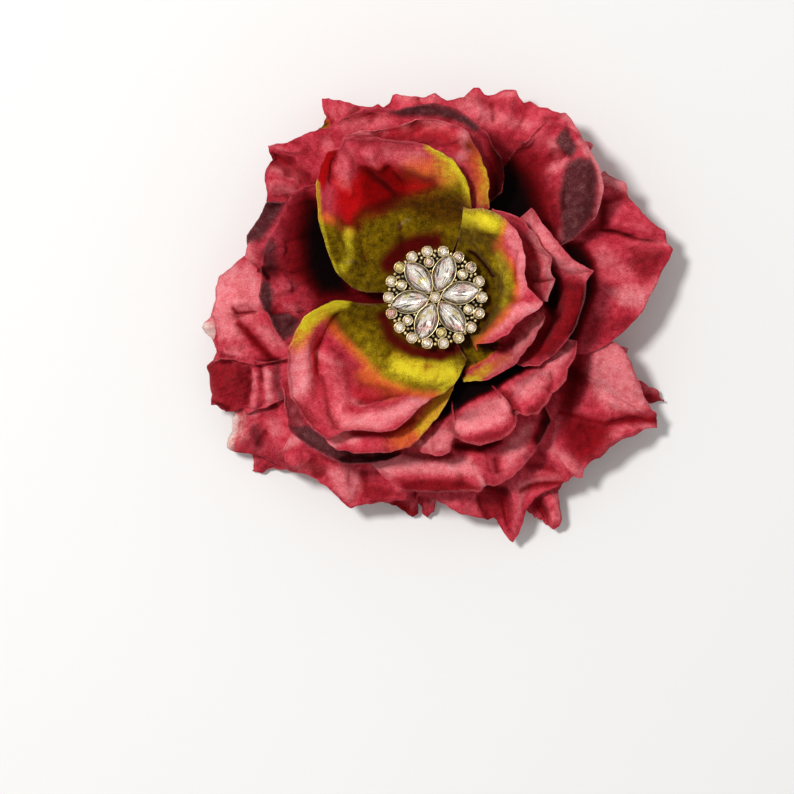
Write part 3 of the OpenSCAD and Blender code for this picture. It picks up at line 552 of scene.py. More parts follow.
            (-41, -24), (-40.3, -30), (-39.3, -36), (-35.5, -39), (-31, -42), (-25, -44.8), (-19, -45),
            (-13, -43.8), (-8, -41.5)],
        "washes": [
            ("grey", 0.6, 1.8, [(-42, -25), (-40, -33), (-37, -37), (-33, -37), (-37, -27), (-42, -25)]),
            ("grey", 0.95, 1.8, [(-40, -34), (-37, -38.5), (-31, -42), (-24, -45.5), (-15, -45.5), (-9, -43),
                (-14, -40), (-25, -38), (-34, -34), (-40, -34)])],
        "strokes": [
            ("dark", 0.7, 1.6, [(-25, -43.5), (-17, -44), (-10, -42)]),
            ("pale", 0.55, 1.6, [(-34, -37), (-29, -40)]), ("pale", 0.4, 1.4, [(-38.5, -30), (-36, -35)])],
    },
    "middle_petal_top_right": {
        "ledge": 5, "base": (18, 70), "belly": (0.75, 1), "curl": 5, "cut": (31, 47), "baseShade": (0.3, 0.7),
        "underside": 0.0,
        "rim": [
            (23, 43, 11, 20), (26, 57, 15, 50), (31, 69, 18, 80), (37, 77, 18, 80), (44, 83, 16, 60),
            (50, 83, 12, 30), (57, 77, 9, 20), (61, 66, 8, 20)],
        "outline": [
            (34.5, 14), (37, 15.5), (40.5, 19), (43.5, 22.5), (45, 26), (45.5, 30), (45, 34), (43.5, 37),
            (41, 41.5), (38, 45), (34, 47.3), (29, 48.4), (24, 47.6), (19.5, 44.5)],
        "folds": [
            (0.8, 2.0, [(22, 40), (29, 45), (33, 49)]), (-0.9, 1.8, [(25, 36), (31, 38), (36, 39)]),
            (0.8, 2.2, [(28, 32), (33, 34.5), (38, 36)]), (-0.6, 1.4, [(33, 19), (34.5, 27), (35, 33)])],
        "washes": [
            ("grey", 1, 1.9, [(42, 37.5), (43.8, 33), (44, 28), (43, 22.5), (39, 17), (35, 14.3), (34, 17),
                (33.4, 22), (33.2, 28), (34.4, 33), (36, 37), (38.5, 38), (42, 37.5)]),
            ("grey", 0.6, 1.0, [(41.5, 36.5), (43.6, 33), (43.8, 28), (42.8, 22.8), (39, 17.5), (36, 15.5),
                (38, 22), (39, 30), (40, 36), (41.5, 36.5)]),
            ("grey", 1, 1.3, [(35.5, 46.5), (37, 43.5), (38.6, 40.5), (36.5, 37.3), (34.2, 39.2), (32.4, 42.2),
                (33.3, 44.8), (35.5, 46.5)]),
            ("dark", 1, 6.5, [(10, 46), (16, 42), (21, 38.5), (25.5, 34), (28, 28), (30.5, 20), (30.5, 8), (12, 14),
                (8, 30), (10, 46)]),
            ("crease", 0.75, 3.5, [(18, 50), (25, 44), (31, 38), (31, 31), (34, 30), (33, 22), (34, 14), (24, 8),
                (10, 30), (18, 50)])],
        "strokes": [
            ("pale", 0.7, 1.5, [(39, 42), (44, 36.5), (45.5, 29), (44, 22), (41, 17)]),
            ("pale", 0.55, 2.0, [(31.5, 35), (35, 36.5)]), ("pale", 0.55, 1.2, [(35, 14.5), (33.5, 18)]),
            ("grey", 0.3, 2.0, [(31, 42), (33, 37)]), ("pale", 0.6, 1.8, [(31.5, 42), (33, 38)]),
            ("dark", 0.45, 2.0, [(32, 24), (32.5, 18)]), ("dark", 0.35, 2.4, [(42, 34), (42.3, 28), (40.5, 21)]),
            ("pale", 0.2, 1.4, [(34.8, 33), (34.4, 26), (35, 19)])],
    },
    "middle_petal_low": {
        "ledge": 4, "base": (250, 310), "belly": (0.65, 4), "curl": 7, "cut": (54, 41), "baseShade": (0.45, 0.7),
        "crumple": 0.7, "underside": 0.3,
        "rim": [
            (248, 67, 9, 20), (256, 70, 11, 40), (264, 71, 12, 60), (273, 72, 12, 70), (283, 72, 12, 70),
            (290, 73, 12, 60), (297, 70, 12, 50), (305, 65, 11, 20), (314, 61, 9, 20)],
        "outline": [
            (-17.5, -44.8), (-13, -49), (-8.5, -52), (0, -52.8), (8, -52.3), (12, -52), (13.3, -50), (16, -50.8),
            (20, -49.5), (23, -46.5), (26, -42.5), (28.5, -39)],
        "folds": [
            (0.9, 1.8, [(10, -44), (11.5, -47), (13, -51)]), (-0.8, 1.6, [(7, -46), (8, -52)]),
            (-0.7, 1.8, [(16, -42), (17, -48)]), (0.5, 2.2, [(20, -40), (21, -46)])],
        "washes": [
            ("pale", 0.78, 1.6, [(-18, -45), (-7, -41.5), (0, -43.5), (10, -43), (13, -49.5), (9, -48), (0, -47.5),
                (-9, -47.5), (-12, -48.5), (-18, -45)]),
            ("crease", 0.8, 1.3, [(-10, -49), (0, -48.5), (8, -49), (12, -51), (8, -53.5), (-8, -54), (-10, -49)]),
            ("pale", 0.6, 2.2, [(18, -41), (23.5, -33.5), (27, -34), (24, -42), (19, -47), (18, -41)])],
        "strokes": [
            ("pale", 0.7, 1.2, [(10.5, -45.5), (12, -48), (13, -50.5)]), ("grey", 0.4, 2, [(15, -44), (17, -48)]),
            ("dark", 0.75, 1.5, [(6, -40), (12, -40.8), (17, -38.6)]),
            ("dark", 0.8, 2.6, [(30, -26), (31, -32), (28, -38)]),
            ("grey", 0.4, 2.4, [(32, -27), (28, -37), (25, -43)]),
            ("dark", 0.5, 0.9, [(-8, -53), (4, -53), (12, -53)]),
            ("dark", 0.5, 1.5, [(-8, -42), (-2, -43.5), (4, -42.5)])],
    },
    "outer_petal_right": {
        "ledge": 4, "base": (-20, 25), "belly": (0.6, 4), "curl": 4, "cut": (44, 52), "baseShade": (0.4, 0.68),
        "crumple": 0.7, "underside": 0.2,
        "rim": [
            (-21, 57, 2, 20), (-14, 69, 1, 30), (-6, 80, -1, 30), (1, 87, -3, 30), (8, 94, -6, 30),
            (12, 101, -10, 20), (17, 98, -7, 30), (23, 91, -4, 30), (30, 89, -3, 30), (37, 84, -3, 20)],
        "outline": [
            (42, -15), (46, -13), (50, -10), (53, -7), (56.2, -4.2), (58, -0.5), (59.5, 3.5), (61.5, 7.5),
            (63.6, 11.2), (64.1, 13.2), (62.4, 14.8), (62.4, 17), (61.8, 18.4), (60, 19.2), (57.5, 21),
            (55.5, 23.5), (53.5, 26.5), (52, 29.8), (51.3, 31.2), (49.5, 32), (47, 33.2), (45.3, 34.6)],
        "folds": [
            (-1.2, 1.3, [(43, 18.5), (50, 18), (57, 15.5), (63, 14)]), (0.9, 2.0, [(45, 21), (54, 19), (61, 17)]),
            (0.8, 2.2, [(46, 12), (54, 11), (62, 13)]), (-0.2, 2.0, [(44, 5), (50, 2), (57, -2)]),
            (0.7, 2.0, [(42, -3), (47, -7), (53, -6)]), (-0.7, 2, [(44, 25), (50, 27), (54, 29)])],
        "washes": [
            ("crease", 0.7, 2.2, [(52, 14), (58, 13.5), (63.5, 12.5), (60, 6), (56, 4), (52, 8), (52, 14)]),
            ("crease", 0.6, 2.4, [(38, -16), (44, -12), (54, -8), (57, -5), (50, -4), (42, -4), (38, -16)]),
            ("pale", 0.75, 2.5, [(47, 2), (52, 4), (58, 3), (57, -3), (50, -2), (47, 2)]),
            ("dark", 0.9, 2.6, [(34, 16), (40, 15), (43.5, 10), (44, 2), (41, -6), (38, -14), (32, -14),
                (34, 16)])],
        "strokes": [
            ("pale", 0.5, 2.0, [(57, -2), (60, 4)]), ("pale", 0.4, 4.0, [(45, 11), (51, 7)]),
            ("grey", 0.25, 3.5, [(46, 11), (48, 7)]), ("pale", 0.75, 2.4, [(46.5, 33), (53, 29)]),
            ("dark", 0.55, 0.7, [(43, 18.5), (48, 18.3), (53, 17)]),
            ("crease", 0.7, 1.5, [(45, 26), (45.5, 22), (45, 19)]), ("pale", 0.45, 0.9, [(56, 15.6), (63, 14.4)]),
            ("dark", 0.5, 2.0, [(41, 17), (45, 20), (46, 26)])],
    },
    "outer_petal_small_left": {
        "ledge": 4, "base": (150, 180), "belly": (0.7, 7), "curl": 3, "cut": (23, 40), "baseShade": (0.5, 0.8),
        "underside": 0.2,
        "rim": [(147, 67, 14, 20), (153, 74, 12, 40), (161, 76, 11, 50), (167, 75, 10, 40), (172, 67, 11, 20)],
        "outline": [(-45.5, 25.7), (-46.8, 23), (-48.5, 20), (-50.9, 17), (-51, 14), (-51.5, 11)],
        "folds": [(-0.9, 0.9, [(-52, 8), (-47, 7.6)]), (0.6, 1.6, [(-51, 13), (-46, 12)])],
        "washes": [
            ("grey", 0.95, 2.0, [(-46, 28), (-40.5, 27), (-41, 23.5), (-44, 19), (-47, 15), (-52, 14.5), (-51, 20),
                (-48, 25), (-46, 28)])],
        "strokes": [
            ("dark", 0.5, 1.2, [(-44.5, 24.5), (-42, 25.5)]), ("pale", 0.6, 2.2, [(-51, 15), (-50, 9)]),
            ("grey", 0.4, 2, [(-48, 14), (-47, 10)]), ("crease", 0.9, 0.7, [(-52, 8), (-47, 7.6)])],
    },
    "outer_petal_top_left": {
        "ledge": 3, "base": (115, 155), "belly": (0.65, 8), "curl": 4, "cut": (30, 47), "baseShade": (0.5, 0.72),
        "crumple": 0.8, "underside": 0.2,
        "rim": [
            (118, 74, 15, 20), (125, 81, 14, 30), (132, 86, 11, 40), (137, 93, 5, 30), (142, 86, 8, 40),
            (147, 78, 9, 30), (150, 69, 10, 20)],
        "outline": [
            (-30.5, 45.8), (-33, 45), (-37, 43.5), (-40, 42), (-43.5, 41.2), (-45.4, 41.4), (-45.2, 39.5),
            (-44.3, 38), (-45.3, 36), (-46, 33.5), (-45.4, 30), (-45.5, 26)],
        "folds": [
            (-1.2, 1.5, [(-45, 38.5), (-42, 37.5), (-37, 36)]), (1.0, 1.6, [(-45, 41), (-40, 40), (-34, 40)]),
            (-0.9, 1.8, [(-42, 33), (-37, 34), (-33, 31)]), (0.8, 2.0, [(-46, 30), (-41, 31), (-36, 30)]),
            (-0.7, 1.8, [(-45, 27), (-40, 28), (-35, 27)])],
        "strokes": [
            ("pale", 0.45, 2.4, [(-43, 35), (-37, 33)]), ("pale", 0.45, 2.0, [(-44, 30), (-38, 28.5)]),
            ("pale", 0.45, 2.4, [(-29, 41), (-25, 46)]), ("pale", 0.4, 0.9, [(-45, 41.3), (-41, 40.3)]),
            ("grey", 0.4, 2.2, [(-31, 43), (-27, 45)]),
            ("crease", 0.85, 1.4, [(-44, 38.6), (-42, 37.6), (-40.5, 36.4)]),
            ("crease", 0.5, 2.5, [(-36, 35), (-33, 31)]), ("crease", 0.5, 2.2, [(-38, 42), (-33, 39)])],
    },
    "outer_petal_left": {
        "ledge": 3, "base": (160, 200), "belly": (0.65, 6), "curl": 4, "cut": (34, 47), "baseShade": (0.45, 0.62),
        "crumple": 0.7, "underside": 0.1,
        "rim": [
            (165, 67, 8, 20), (171, 83, 2, 30), (177, 91, 0, 40), (184, 92, -1, 40), (191, 93, -1, 40),
            (196, 89, 0, 30), (200, 74, 3, 20)],
        "outline": [
            (-51.8, 11), (-55, 8.7), (-58.5, 5.8), (-59.5, 3), (-59.3, 0), (-60.2, -3), (-60.8, -4.5), (-59.8, -7),
            (-59.6, -11.5), (-59, -14.5), (-60, -16.8)],
        "folds": [
            (-1.5, 0.9, [(-55, -3), (-53.4, -4.4), (-47, -3.6)]), (1.0, 2.0, [(-56, -1), (-50, -1), (-45, -1)]),
            (-1.0, 1.4, [(-54, -6.5), (-50, -10), (-44, -16.5)]), (0.9, 2.0, [(-53, -5), (-48, -7.5), (-42, -12)]),
            (0.7, 2.4, [(-57, -12), (-52, -14)]), (-0.8, 1.6, [(-59, -15), (-53, -16)])],
        "washes": [
            ("pale", 0.66, 2.5, [(-50, 10), (-60, 6), (-62, -6), (-58, -12), (-52, -12), (-51, -7), (-47, -5),
                (-46, 4), (-50, 10)]),
            ("pale", 0.5, 2.0, [(-51, -6), (-45, -6.5), (-40, -13), (-44, -14.5), (-51, -6)])],
        "strokes": [
            ("pale", 0.5, 2.4, [(-56, -14.5), (-52, -14)]), ("pale", 0.95, 2.4, [(-55, 8), (-58.5, 4.5), (-59, 0)]),
            ("crease", 1, 1.5, [(-53, -6.8), (-50, -10.2), (-45, -15.6), (-41, -19)]),
            ("crease", 0.9, 0.8, [(-54.5, -2.8), (-53.4, -4.6), (-50, -3.8)]),
            ("crease", 0.35, 1.8, [(-58, -13), (-55, -13)]), ("dark", 0.6, 1.6, [(-47.5, -17.5), (-43, -17)])],
    },
    "outer_petal_low_left": {
        "ledge": 3, "base": (220, 265), "belly": (0.65, 3), "curl": 5, "cut": (39, 46), "baseShade": (0.5, 0.72),
        "crumple": 0.7, "underside": 0.2,
        "rim": [
            (225, 88, 1, 20), (234, 87, -2, 40), (241, 88, -4, 40), (247, 91, -7, 30), (253, 83, -4, 40),
            (261, 79, -2, 20), (265, 70, 0, 20)],
        "outline": [
            (-40, -46.3), (-35.5, -48), (-32, -49.3), (-29, -51.3), (-26, -54), (-24, -55.8), (-22.5, -56.8),
            (-18, -55.6), (-14.5, -54.8), (-11, -54.6), (-8, -54.8)],
        "folds": [
            (0.9, 1.8, [(-26, -45), (-24, -50), (-23, -56)]), (-0.9, 2.0, [(-20, -45), (-19, -51), (-18, -55)]),
            (-0.8, 1.8, [(-34, -43), (-30, -49)]), (0.7, 1.8, [(-40, -42), (-36, -46)]),
            (0.6, 1.8, [(-12, -47), (-9, -53)])],
        "washes": [
            ("pale", 0.6, 2.2, [(-30, -46), (-24, -45), (-20, -47), (-20, -52), (-22.5, -56), (-27, -52),
                (-30, -46)]),
            ("crease", 0.7, 2.2, [(-19, -49), (-13, -50), (-8, -53), (-16, -56), (-21, -54), (-19, -49)]),
            ("crease", 0.7, 1.2, [(-36, -40), (-30, -42.5), (-27, -44.5), (-33, -43.5), (-36, -40)])],
        "strokes": [
            ("pale", 0.75, 1.8, [(-41, -40), (-37.5, -38)]), ("grey", 0.3, 2.4, [(-34, -46), (-29, -48)]),
            ("grey", 0.6, 1.6, [(-42, -45), (-38, -46)]), ("pale", 0.4, 2.0, [(-36, -45.5), (-31, -46.5)]),
            ("grey", 0.3, 2.4, [(-26, -47), (-22, -46)])],
    },
    "outer_petal_low_right": {
        "ledge": 3, "base": (310, 345), "belly": (0.6, 4), "curl": 4, "cut": (34, 55), "baseShade": (0.42, 0.64),
        "crumple": 0.7, "underside": 0.1,
        "rim": [
            (305, 72, 0, 20), (306, 88, -3, 20), (309, 95, -6, 20), (318, 94, -5, 40), (325, 98, -8, 30),
            (331, 108, -14, 20), (333, 97, -8, 30), (339, 84, -2, 30), (346, 72, 1, 20)],
        "outline": [
            (35.5, -49.8), (37.5, -47.8), (39, -49), (40, -48.6), (40, -46), (42.5, -43.4), (44.5, -43),
            (46.5, -40), (49, -38.2), (53, -36.3), (57, -35.3), (60.2, -35.2), (59.8, -31.5), (57.5, -28.5),
            (54, -21), (52, -16), (49, -11)],
        "folds": [
            (-1.3, 1.8, [(39, -16), (37, -25), (36, -33)]), (1.0, 2.2, [(44, -13), (42, -22), (41, -30)]),
            (-1.3, 1.4, [(46, -34), (52, -32.5), (59, -32.5)]), (1.0, 1.8, [(44, -27), (51, -29), (59, -31)]),
            (0.9, 1.6, [(40, -43), (50, -37), (59, -35)]), (-1.2, 2.0, [(38, -34), (42, -37), (43, -42)]),
            (0.9, 1.8, [(31, -39), (35, -44), (40, -48)]), (0.6, 2.2, [(48, -14), (52, -20), (56, -27)])],
        "washes": [
            ("pale", 0.72, 2.6, [(43, -13), (49, -11), (54, -19), (59, -29), (54, -30.5), (46, -30), (42, -26),
                (41, -19), (43, -13)]),
            ("crease", 0.85, 3.0, [(34.5, -31), (41, -31.5), (48, -34), (48, -38), (43, -44), (38.5, -45),
                (35, -41), (33.5, -36), (34.5, -31)]),
            ("dark", 0.4, 2.6, [(37, -14), (40, -16), (40.5, -22), (37, -30), (33, -32), (33, -24), (37, -14)]),
            ("crease", 0.8, 2.6, [(38, -13), (41, -16), (41, -23), (38, -31), (33, -33), (33, -24), (38, -13)])],
        "strokes": [
            ("grey", 0.3, 3.5, [(45, -22), (48, -27)]), ("pale", 0.55, 2.0, [(32, -41), (36, -44), (39, -47)]),
            ("pale", 0.45, 1.0, [(46, -37.5), (52, -35), (59, -34.4)]),
            ("crease", 0.9, 1.4, [(34, -31), (40, -32.6), (46, -34), (52, -32.8), (59.5, -33)]),
            ("crease", 0.5, 1.6, [(38, -36), (43, -39), (44, -42)]), ("pale", 0.4, 0.8, [(33.5, -32), (32, -39)])],
    },
    "outer_petal_bottom": {
        "ledge": 2, "base": (265, 310), "belly": (0.6, 4), "curl": 4, "cut": (35, 54), "baseShade": (0.5, 0.72),
        "crumple": 0.7, "underside": 0.1,
        "rim": [
            (269, 78, -2, 20), (276, 86, -5, 30), (283, 95, -9, 20), (288, 108, -16, 20), (292, 98, -9, 20),
            (298, 92, -5, 30), (306, 92, -3, 20)],
        "outline": [
            (1, -55), (4.5, -57), (8, -58.5), (12, -59.6), (16, -60.2), (18, -62.5), (20, -65.3), (21, -65.9),
            (22.5, -64), (23.5, -61), (24.5, -57.5), (27, -54), (33, -51), (36, -49)],
        "folds": [
            (1.2, 1.6, [(20, -47), (22, -56), (21.5, -65)]), (-1.2, 1.8, [(18, -50), (19, -57), (20, -63)]),
            (-0.9, 2.0, [(11, -52), (14, -57), (17, -61)]), (0.8, 1.6, [(24, -47), (30, -47), (35, -48.5)]),
            (-0.9, 1.2, [(23, -52), (28, -50.5), (34, -50)]), (0.6, 1.6, [(4, -54), (9, -58)])],
        "washes": [
            ("crease", 0.75, 2.0, [(14, -50), (20, -51), (21, -57), (21, -64), (18.5, -62), (16, -57), (12, -53),
                (14, -50)]),
            ("pale", 0.5, 1.4, [(21.5, -50), (24, -49), (34, -47), (34, -49), (27, -50), (24, -54), (23, -60),
                (22, -62), (21.5, -50)])],
        "strokes": [
            ("crease", 0.9, 0.9, [(23, -52), (28, -50.6), (34, -50)]),
            ("crease", 0.7, 1.4, [(25, -45), (33, -46.2)]), ("pale", 0.3, 2.5, [(3, -55), (10, -57.5)]),
            ("dark", 0.5, 1.6, [(14, -51), (19, -52)])],
    },
    "outer_petal_curled": {
        "ledge": 2, "base": (185, 215), "belly": (0.7, 6), "curl": 6, "cut": (23, 50), "baseShade": (0.2, 0.42),
        "crumple": 0.7, "underside": 0.1,
        "rim": [(193, 87, -2, 20), (196, 96, -5, 40), (201, 99, -7, 50), (206, 100, -7, 40), (211, 91, -4, 20)],
        "outline": [
            (-60.8, -17.2), (-61.7, -18), (-61.2, -21), (-60.3, -26), (-60.7, -29), (-59.3, -29), (-58.5, -30),
            (-56.5, -31.2)],
        "folds": [
            (-1.2, 1.3, [(-50.5, -17), (-50.5, -25), (-52, -31)]),
            (0.9, 1.5, [(-48, -18), (-47.5, -25), (-49, -31)]),
            (-0.8, 1.0, [(-47, -17), (-46.7, -24), (-46.5, -30)]),
            (0.8, 1.3, [(-45.3, -17), (-44.8, -23), (-44.4, -29)]), (-0.9, 1.6, [(-60, -17.5), (-54, -18)]),
            (0.9, 2.0, [(-57, -22), (-52, -21)]), (-0.7, 1.6, [(-59, -26), (-53, -27)])],
        "washes": [
            ("crease", 0.72, 3.0, [(-64, -17), (-51.5, -16.5), (-51, -24), (-53.5, -32), (-58, -33), (-64, -17)]),
            ("pale", 0.5, 1.4, [(-49.5, -19), (-48, -20), (-47.5, -26), (-49, -32), (-50, -31), (-49.5, -19)]),
            ("pale", 0.8, 1.1, [(-46.5, -18), (-44, -20), (-43.5, -28), (-45.5, -29), (-46.5, -18)])],
        "strokes": [
            ("red", 0.3, 3.5, [(-58, -23), (-55, -22)]),
            ("dark", 0.35, 2.0, [(-52.5, -18), (-52, -24), (-53, -29)]),
            ("grey", 0.7, 1.6, [(-43, -18), (-42.5, -24), (-41, -28)]),
            ("grey", 0.4, 0.9, [(-48, -18), (-47, -23), (-47.5, -29)]),
            ("crease", 0.7, 0.9, [(-47.3, -17.5), (-46.8, -22)]), ("dark", 0.5, 1.0, [(-60, -28), (-56, -30)]),
            ("pale", 0.6, 1.0, [(-59, -16.5), (-55, -16)])],
    },
    "outer_petal_far_low_left": {
        "ledge": 1, "base": (200, 235), "belly": (0.6, 4), "curl": 4, "cut": (32, 53), "baseShade": (0.25, 0.45),
        "crumple": 0.7, "underside": 0.2,
        "rim": [
            (209, 97, -7, 20), (213, 104, -10, 20), (216, 110, -13, 20), (220, 102, -10, 20), (227, 97, -7, 30),
            (233, 90, -5, 20), (240, 87, -5, 20)],
        "outline": [
            (-53.8, -31.5), (-54.8, -33), (-54.5, -36), (-55.5, -38.5), (-56, -40.4), (-54, -41.3), (-50, -42),
            (-46, -43), (-42, -45)],
        "folds": [
            (1.0, 2.0, [(-47, -32), (-51, -37), (-56, -41)]), (-0.9, 1.8, [(-45, -35), (-49, -41)]),
            (-0.8, 1.6, [(-47, -18), (-45, -25), (-42, -32)]), (0.8, 1.6, [(-44, -17), (-42, -24), (-41, -30)]),
            (0.7, 1.6, [(-50, -20), (-48, -28)])],
        "washes": [
            ("grey", 0.5, 2.6, [(-53, -39), (-48, -37), (-43, -38), (-38, -44), (-38, -48), (-48, -44),
                (-53, -39)]),
            ("pale", 0.55, 1.5, [(-50, -19), (-47, -20), (-46, -26), (-48, -33), (-51, -32), (-50, -19)]),
            ("pale", 0.55, 1.2, [(-45, -18), (-43, -21), (-42, -28), (-44, -29), (-45, -18)]),
            ("pale", 0.5, 1.6, [(-46, -33), (-42, -32), (-40, -37), (-44, -38), (-46, -33)])],
        "strokes": [
            ("cream", 0.75, 2.0, [(-54.5, -32), (-54.5, -37), (-56, -41)]),
            ("cream", 0.4, 2.5, [(-52, -32), (-52, -37)]), ("grey", 0.65, 2.0, [(-48.5, -35), (-48, -41)]),
            ("grey", 0.5, 1.6, [(-46, -18), (-44.5, -24), (-41.5, -27)]),
            ("crease", 0.7, 1.4, [(-48, -17), (-46.5, -23)]), ("grey", 0.4, 2, [(-47, -29), (-44, -32)]),
            ("crease", 0.5, 2, [(-54, -41.5), (-46, -43.5), (-40, -44)])],
    },
    "outer_petal_top": {
        "ledge": 1, "base": (50, 110), "belly": (0.6, 9), "curl": 3, "cut": (61, 44), "baseShade": (0.45, 0.68),
        "crumple": 0.8, "ruffle": 1.6, "underside": 0.1,
        "rim": [
            (44, 84, 11, 20), (50, 92, 9, 30), (56, 93, 5, 30), (62, 91, 4, 30), (69, 93, 2, 20), (75, 89, 4, 30),
            (79, 90, 2, 20), (86, 82, 5, 30), (93, 84, 4, 30), (101, 87, 3, 20), (107, 78, 9, 20)],
        "outline": [
            (45, 35), (44.2, 38), (42.6, 41.6), (41.8, 42.2), (40.2, 42.4), (38.5, 45.5), (36.5, 48.5), (35.3, 50),
            (34, 49.6), (32.5, 50.3), (30.3, 51.3), (28, 51.3), (25.7, 53), (24, 52.3), (22.5, 54), (22, 56.1),
            (19, 56.3), (16.5, 55), (14.3, 54.5), (13.3, 54.8), (12, 56.6), (10.5, 56.5), (8, 54.2), (5, 53.3),
            (3.2, 53.2), (1.5, 54), (0, 55.3), (-1, 55.1), (-2, 54.2), (-4, 54.7), (-7, 54.5), (-9, 54.9),
            (-10.5, 55.4), (-11.3, 55), (-12, 53), (-13.5, 51.6)],
        "folds": [
            (0.8, 1.8, [(12, 47), (11, 56)]), (-0.8, 2.0, [(16, 46), (15, 54)]), (0.8, 1.8, [(19, 46), (21, 55)]),
            (-0.7, 1.8, [(22, 45), (25, 51)]), (0.7, 1.8, [(25, 43), (31, 50)]), (-0.7, 1.8, [(-4, 51), (-5, 55)]),
            (0.6, 1.6, [(-1, 51), (-1, 55)]), (0.7, 2, [(32, 43), (36, 49)])],
        "washes": [
            ("pale", 0.5, 2.2, [(4, 52), (10, 56), (14, 52), (20, 50), (28, 47), (26, 45), (14, 46), (4, 52)]),
            ("pale", 0.45, 1.6, [(16, 55), (22, 57), (23, 54), (18, 54), (16, 55)])],
        "strokes": [
            ("pale", 0.6, 1.4, [(35, 49), (40, 43), (44, 37)]), ("pale", 0.45, 1.8, [(-9, 54), (0, 54)]),
            ("crease", 0.4, 1.8, [(8, 54), (14, 53)]), ("crease", 0.45, 2, [(16, 52), (24, 51.5)]),
            ("crease", 0.5, 1.8, [(30, 48), (34, 49)]), ("dark", 0.4, 2.6, [(13, 41), (18, 40), (23, 37)]),
            ("crease", 0.6, 3.5, [(14, 43), (20, 42.5), (26, 39)])],
    },
    "outer_petal_far_bottom": {
        "ledge": 1, "base": (285, 310), "belly": (0.6, 2), "curl": 3, "cut": (18, 54), "baseShade": (0.55, 0.75),
        "underside": 0.1,
        "rim": [
            (293, 94, -11, 20), (295, 107, -15, 20), (297, 113, -17, 20), (301, 105, -13, 20), (306, 93, -9, 20)],
        "outline": [
            (24.7, -57.2), (27, -59), (30, -61.5), (32, -62.6), (33.5, -61.6), (33.3, -59), (32.8, -56), (33, -53),
            (34, -51)],
        "folds": [(1.0, 1.6, [(31, -52), (32, -58), (32, -62)]), (-0.9, 1.6, [(27, -54), (29, -58), (30, -61)])],
        "washes": [("crease", 0.85, 1.4, [(25, -54), (29, -53), (31, -57), (31, -61), (26, -58), (25, -54)])],
        "strokes": [("pale", 0.5, 1.2, [(32, -53), (32.6, -59)])],
    },
    "back_petal_left": {
        "ledge": 0, "base": (175, 205), "belly": (0.6, 3), "curl": 3, "cut": (22, 48), "baseShade": (0.5, 0.7),
        "underside": 0.1,
        "rim": [
            (178, 84, -10, 20), (183, 96, -14, 20), (187, 102, -18, 20), (191, 96, -14, 20), (196, 86, -10, 20)],
        "outline": [(-59, -3), (-60.5, -5.2), (-63.2, -8), (-61.5, -9.6), (-59.3, -12)],
        "folds": [(0.7, 1.6, [(-56, -6), (-63, -8)])],
        "strokes": [
            ("cream", 0.75, 2.4, [(-62, -8), (-60, -9)]), ("pale", 0.7, 2.5, [(-58, 4), (-59, -4), (-61, -7)])],
    },
    "back_petal_low_left": {
        "ledge": 0, "base": (215, 245), "belly": (0.6, 3), "curl": 3, "cut": (19, 51), "baseShade": (0.5, 0.75),
        "underside": 0.1,
        "rim": [
            (217, 97, -12, 20), (221, 104, -16, 20), (224, 108, -19, 20), (227, 100, -16, 20), (229, 88, -12, 20)],
        "outline": [(-49.5, -42.3), (-49, -44.5), (-49.3, -46.9), (-47, -47.2), (-44, -45.9), (-40, -46.2)],
        "folds": [(0.6, 1.4, [(-45, -43), (-48, -47)])],
        "strokes": [("crease", 0.5, 2.5, [(-47, -44), (-44, -46)]), ("pale", 0.4, 1.0, [(-49, -45), (-48, -44)])],
    },
    "back_petal_bottom": {
        "ledge": 0, "base": (255, 285), "belly": (0.6, 3), "curl": 3, "cut": (21, 43), "baseShade": (0.55, 0.75),
        "underside": 0.1,
        "rim": [(255, 83, -12, 20), (264, 92, -18, 20), (265, 84, -14, 20), (268, 90, -18, 20), (272, 80, -12, 20)],
        "outline": [
            (-14, -55), (-11, -56.5), (-8, -57.8), (-6, -59.1), (-5.2, -56), (-4.6, -55.2), (-3.2, -57.8),
            (-2, -59.1), (-0.5, -55.5), (0.3, -54.2), (1.5, -55)],
        "folds": [
            (0.7, 1.3, [(-6, -53), (-6, -59)]), (-0.7, 1.3, [(-4, -53), (-3.5, -58)]),
            (0.7, 1.2, [(-2, -54), (-2, -58)])],
        "strokes": [
            ("crease", 0.9, 2.4, [(-10, -56), (-6, -58)]), ("pale", 0.4, 1.2, [(-1, -55), (0.5, -54)]),
            ("crease", 0.5, 1.2, [(-2.5, -57), (-2, -59)])],
    },
    "back_petal_right": {
        "ledge": 0, "base": (312, 340), "belly": (0.6, 3), "curl": 3, "cut": (24, 51), "baseShade": (0.5, 0.75),
        "underside": 0.1,
        "rim": [
            (323, 92, -12, 20), (329, 93, -14, 20), (336, 108, -18, 20), (339, 91, -14, 20), (346, 81, -12, 20)],
        "outline": [(57, -28.4), (61.9, -27.7), (58, -25), (55, -22), (52.3, -15.2), (52.6, -13.5), (50, -11)],
        "folds": [(0.8, 1.6, [(54, -23), (61, -27)]), (-0.7, 1.4, [(54, -26), (58, -28)])],
        "strokes": [
            ("crease", 0.75, 1.4, [(55, -26), (60, -27.5)]), ("pale", 0.45, 1.4, [(50, -12), (52, -14)]),
            ("pale", 0.45, 0.8, [(55, -24), (61, -27)])],
    },
    "back_petal_top_left": {
        "ledge": 0, "base": (105, 135), "belly": (0.6, 3), "curl": 3, "cut": (25, 45), "baseShade": (0.5, 0.7),
        "underside": 0.1,
        "rim": [
            (103, 80, -4, 20), (111, 87, -6, 20), (116, 95, -7, 20), (119, 99, -8, 20), (123, 88, -6, 20),
            (128, 80, -4, 20)],
        "outline": [
            (-14, 51.8), (-15.2, 52.6), (-17, 51.8), (-20.5, 52), (-24, 53.3), (-27.5, 54), (-30.6, 54),
            (-30.5, 52), (-30, 49), (-30.5, 46)],
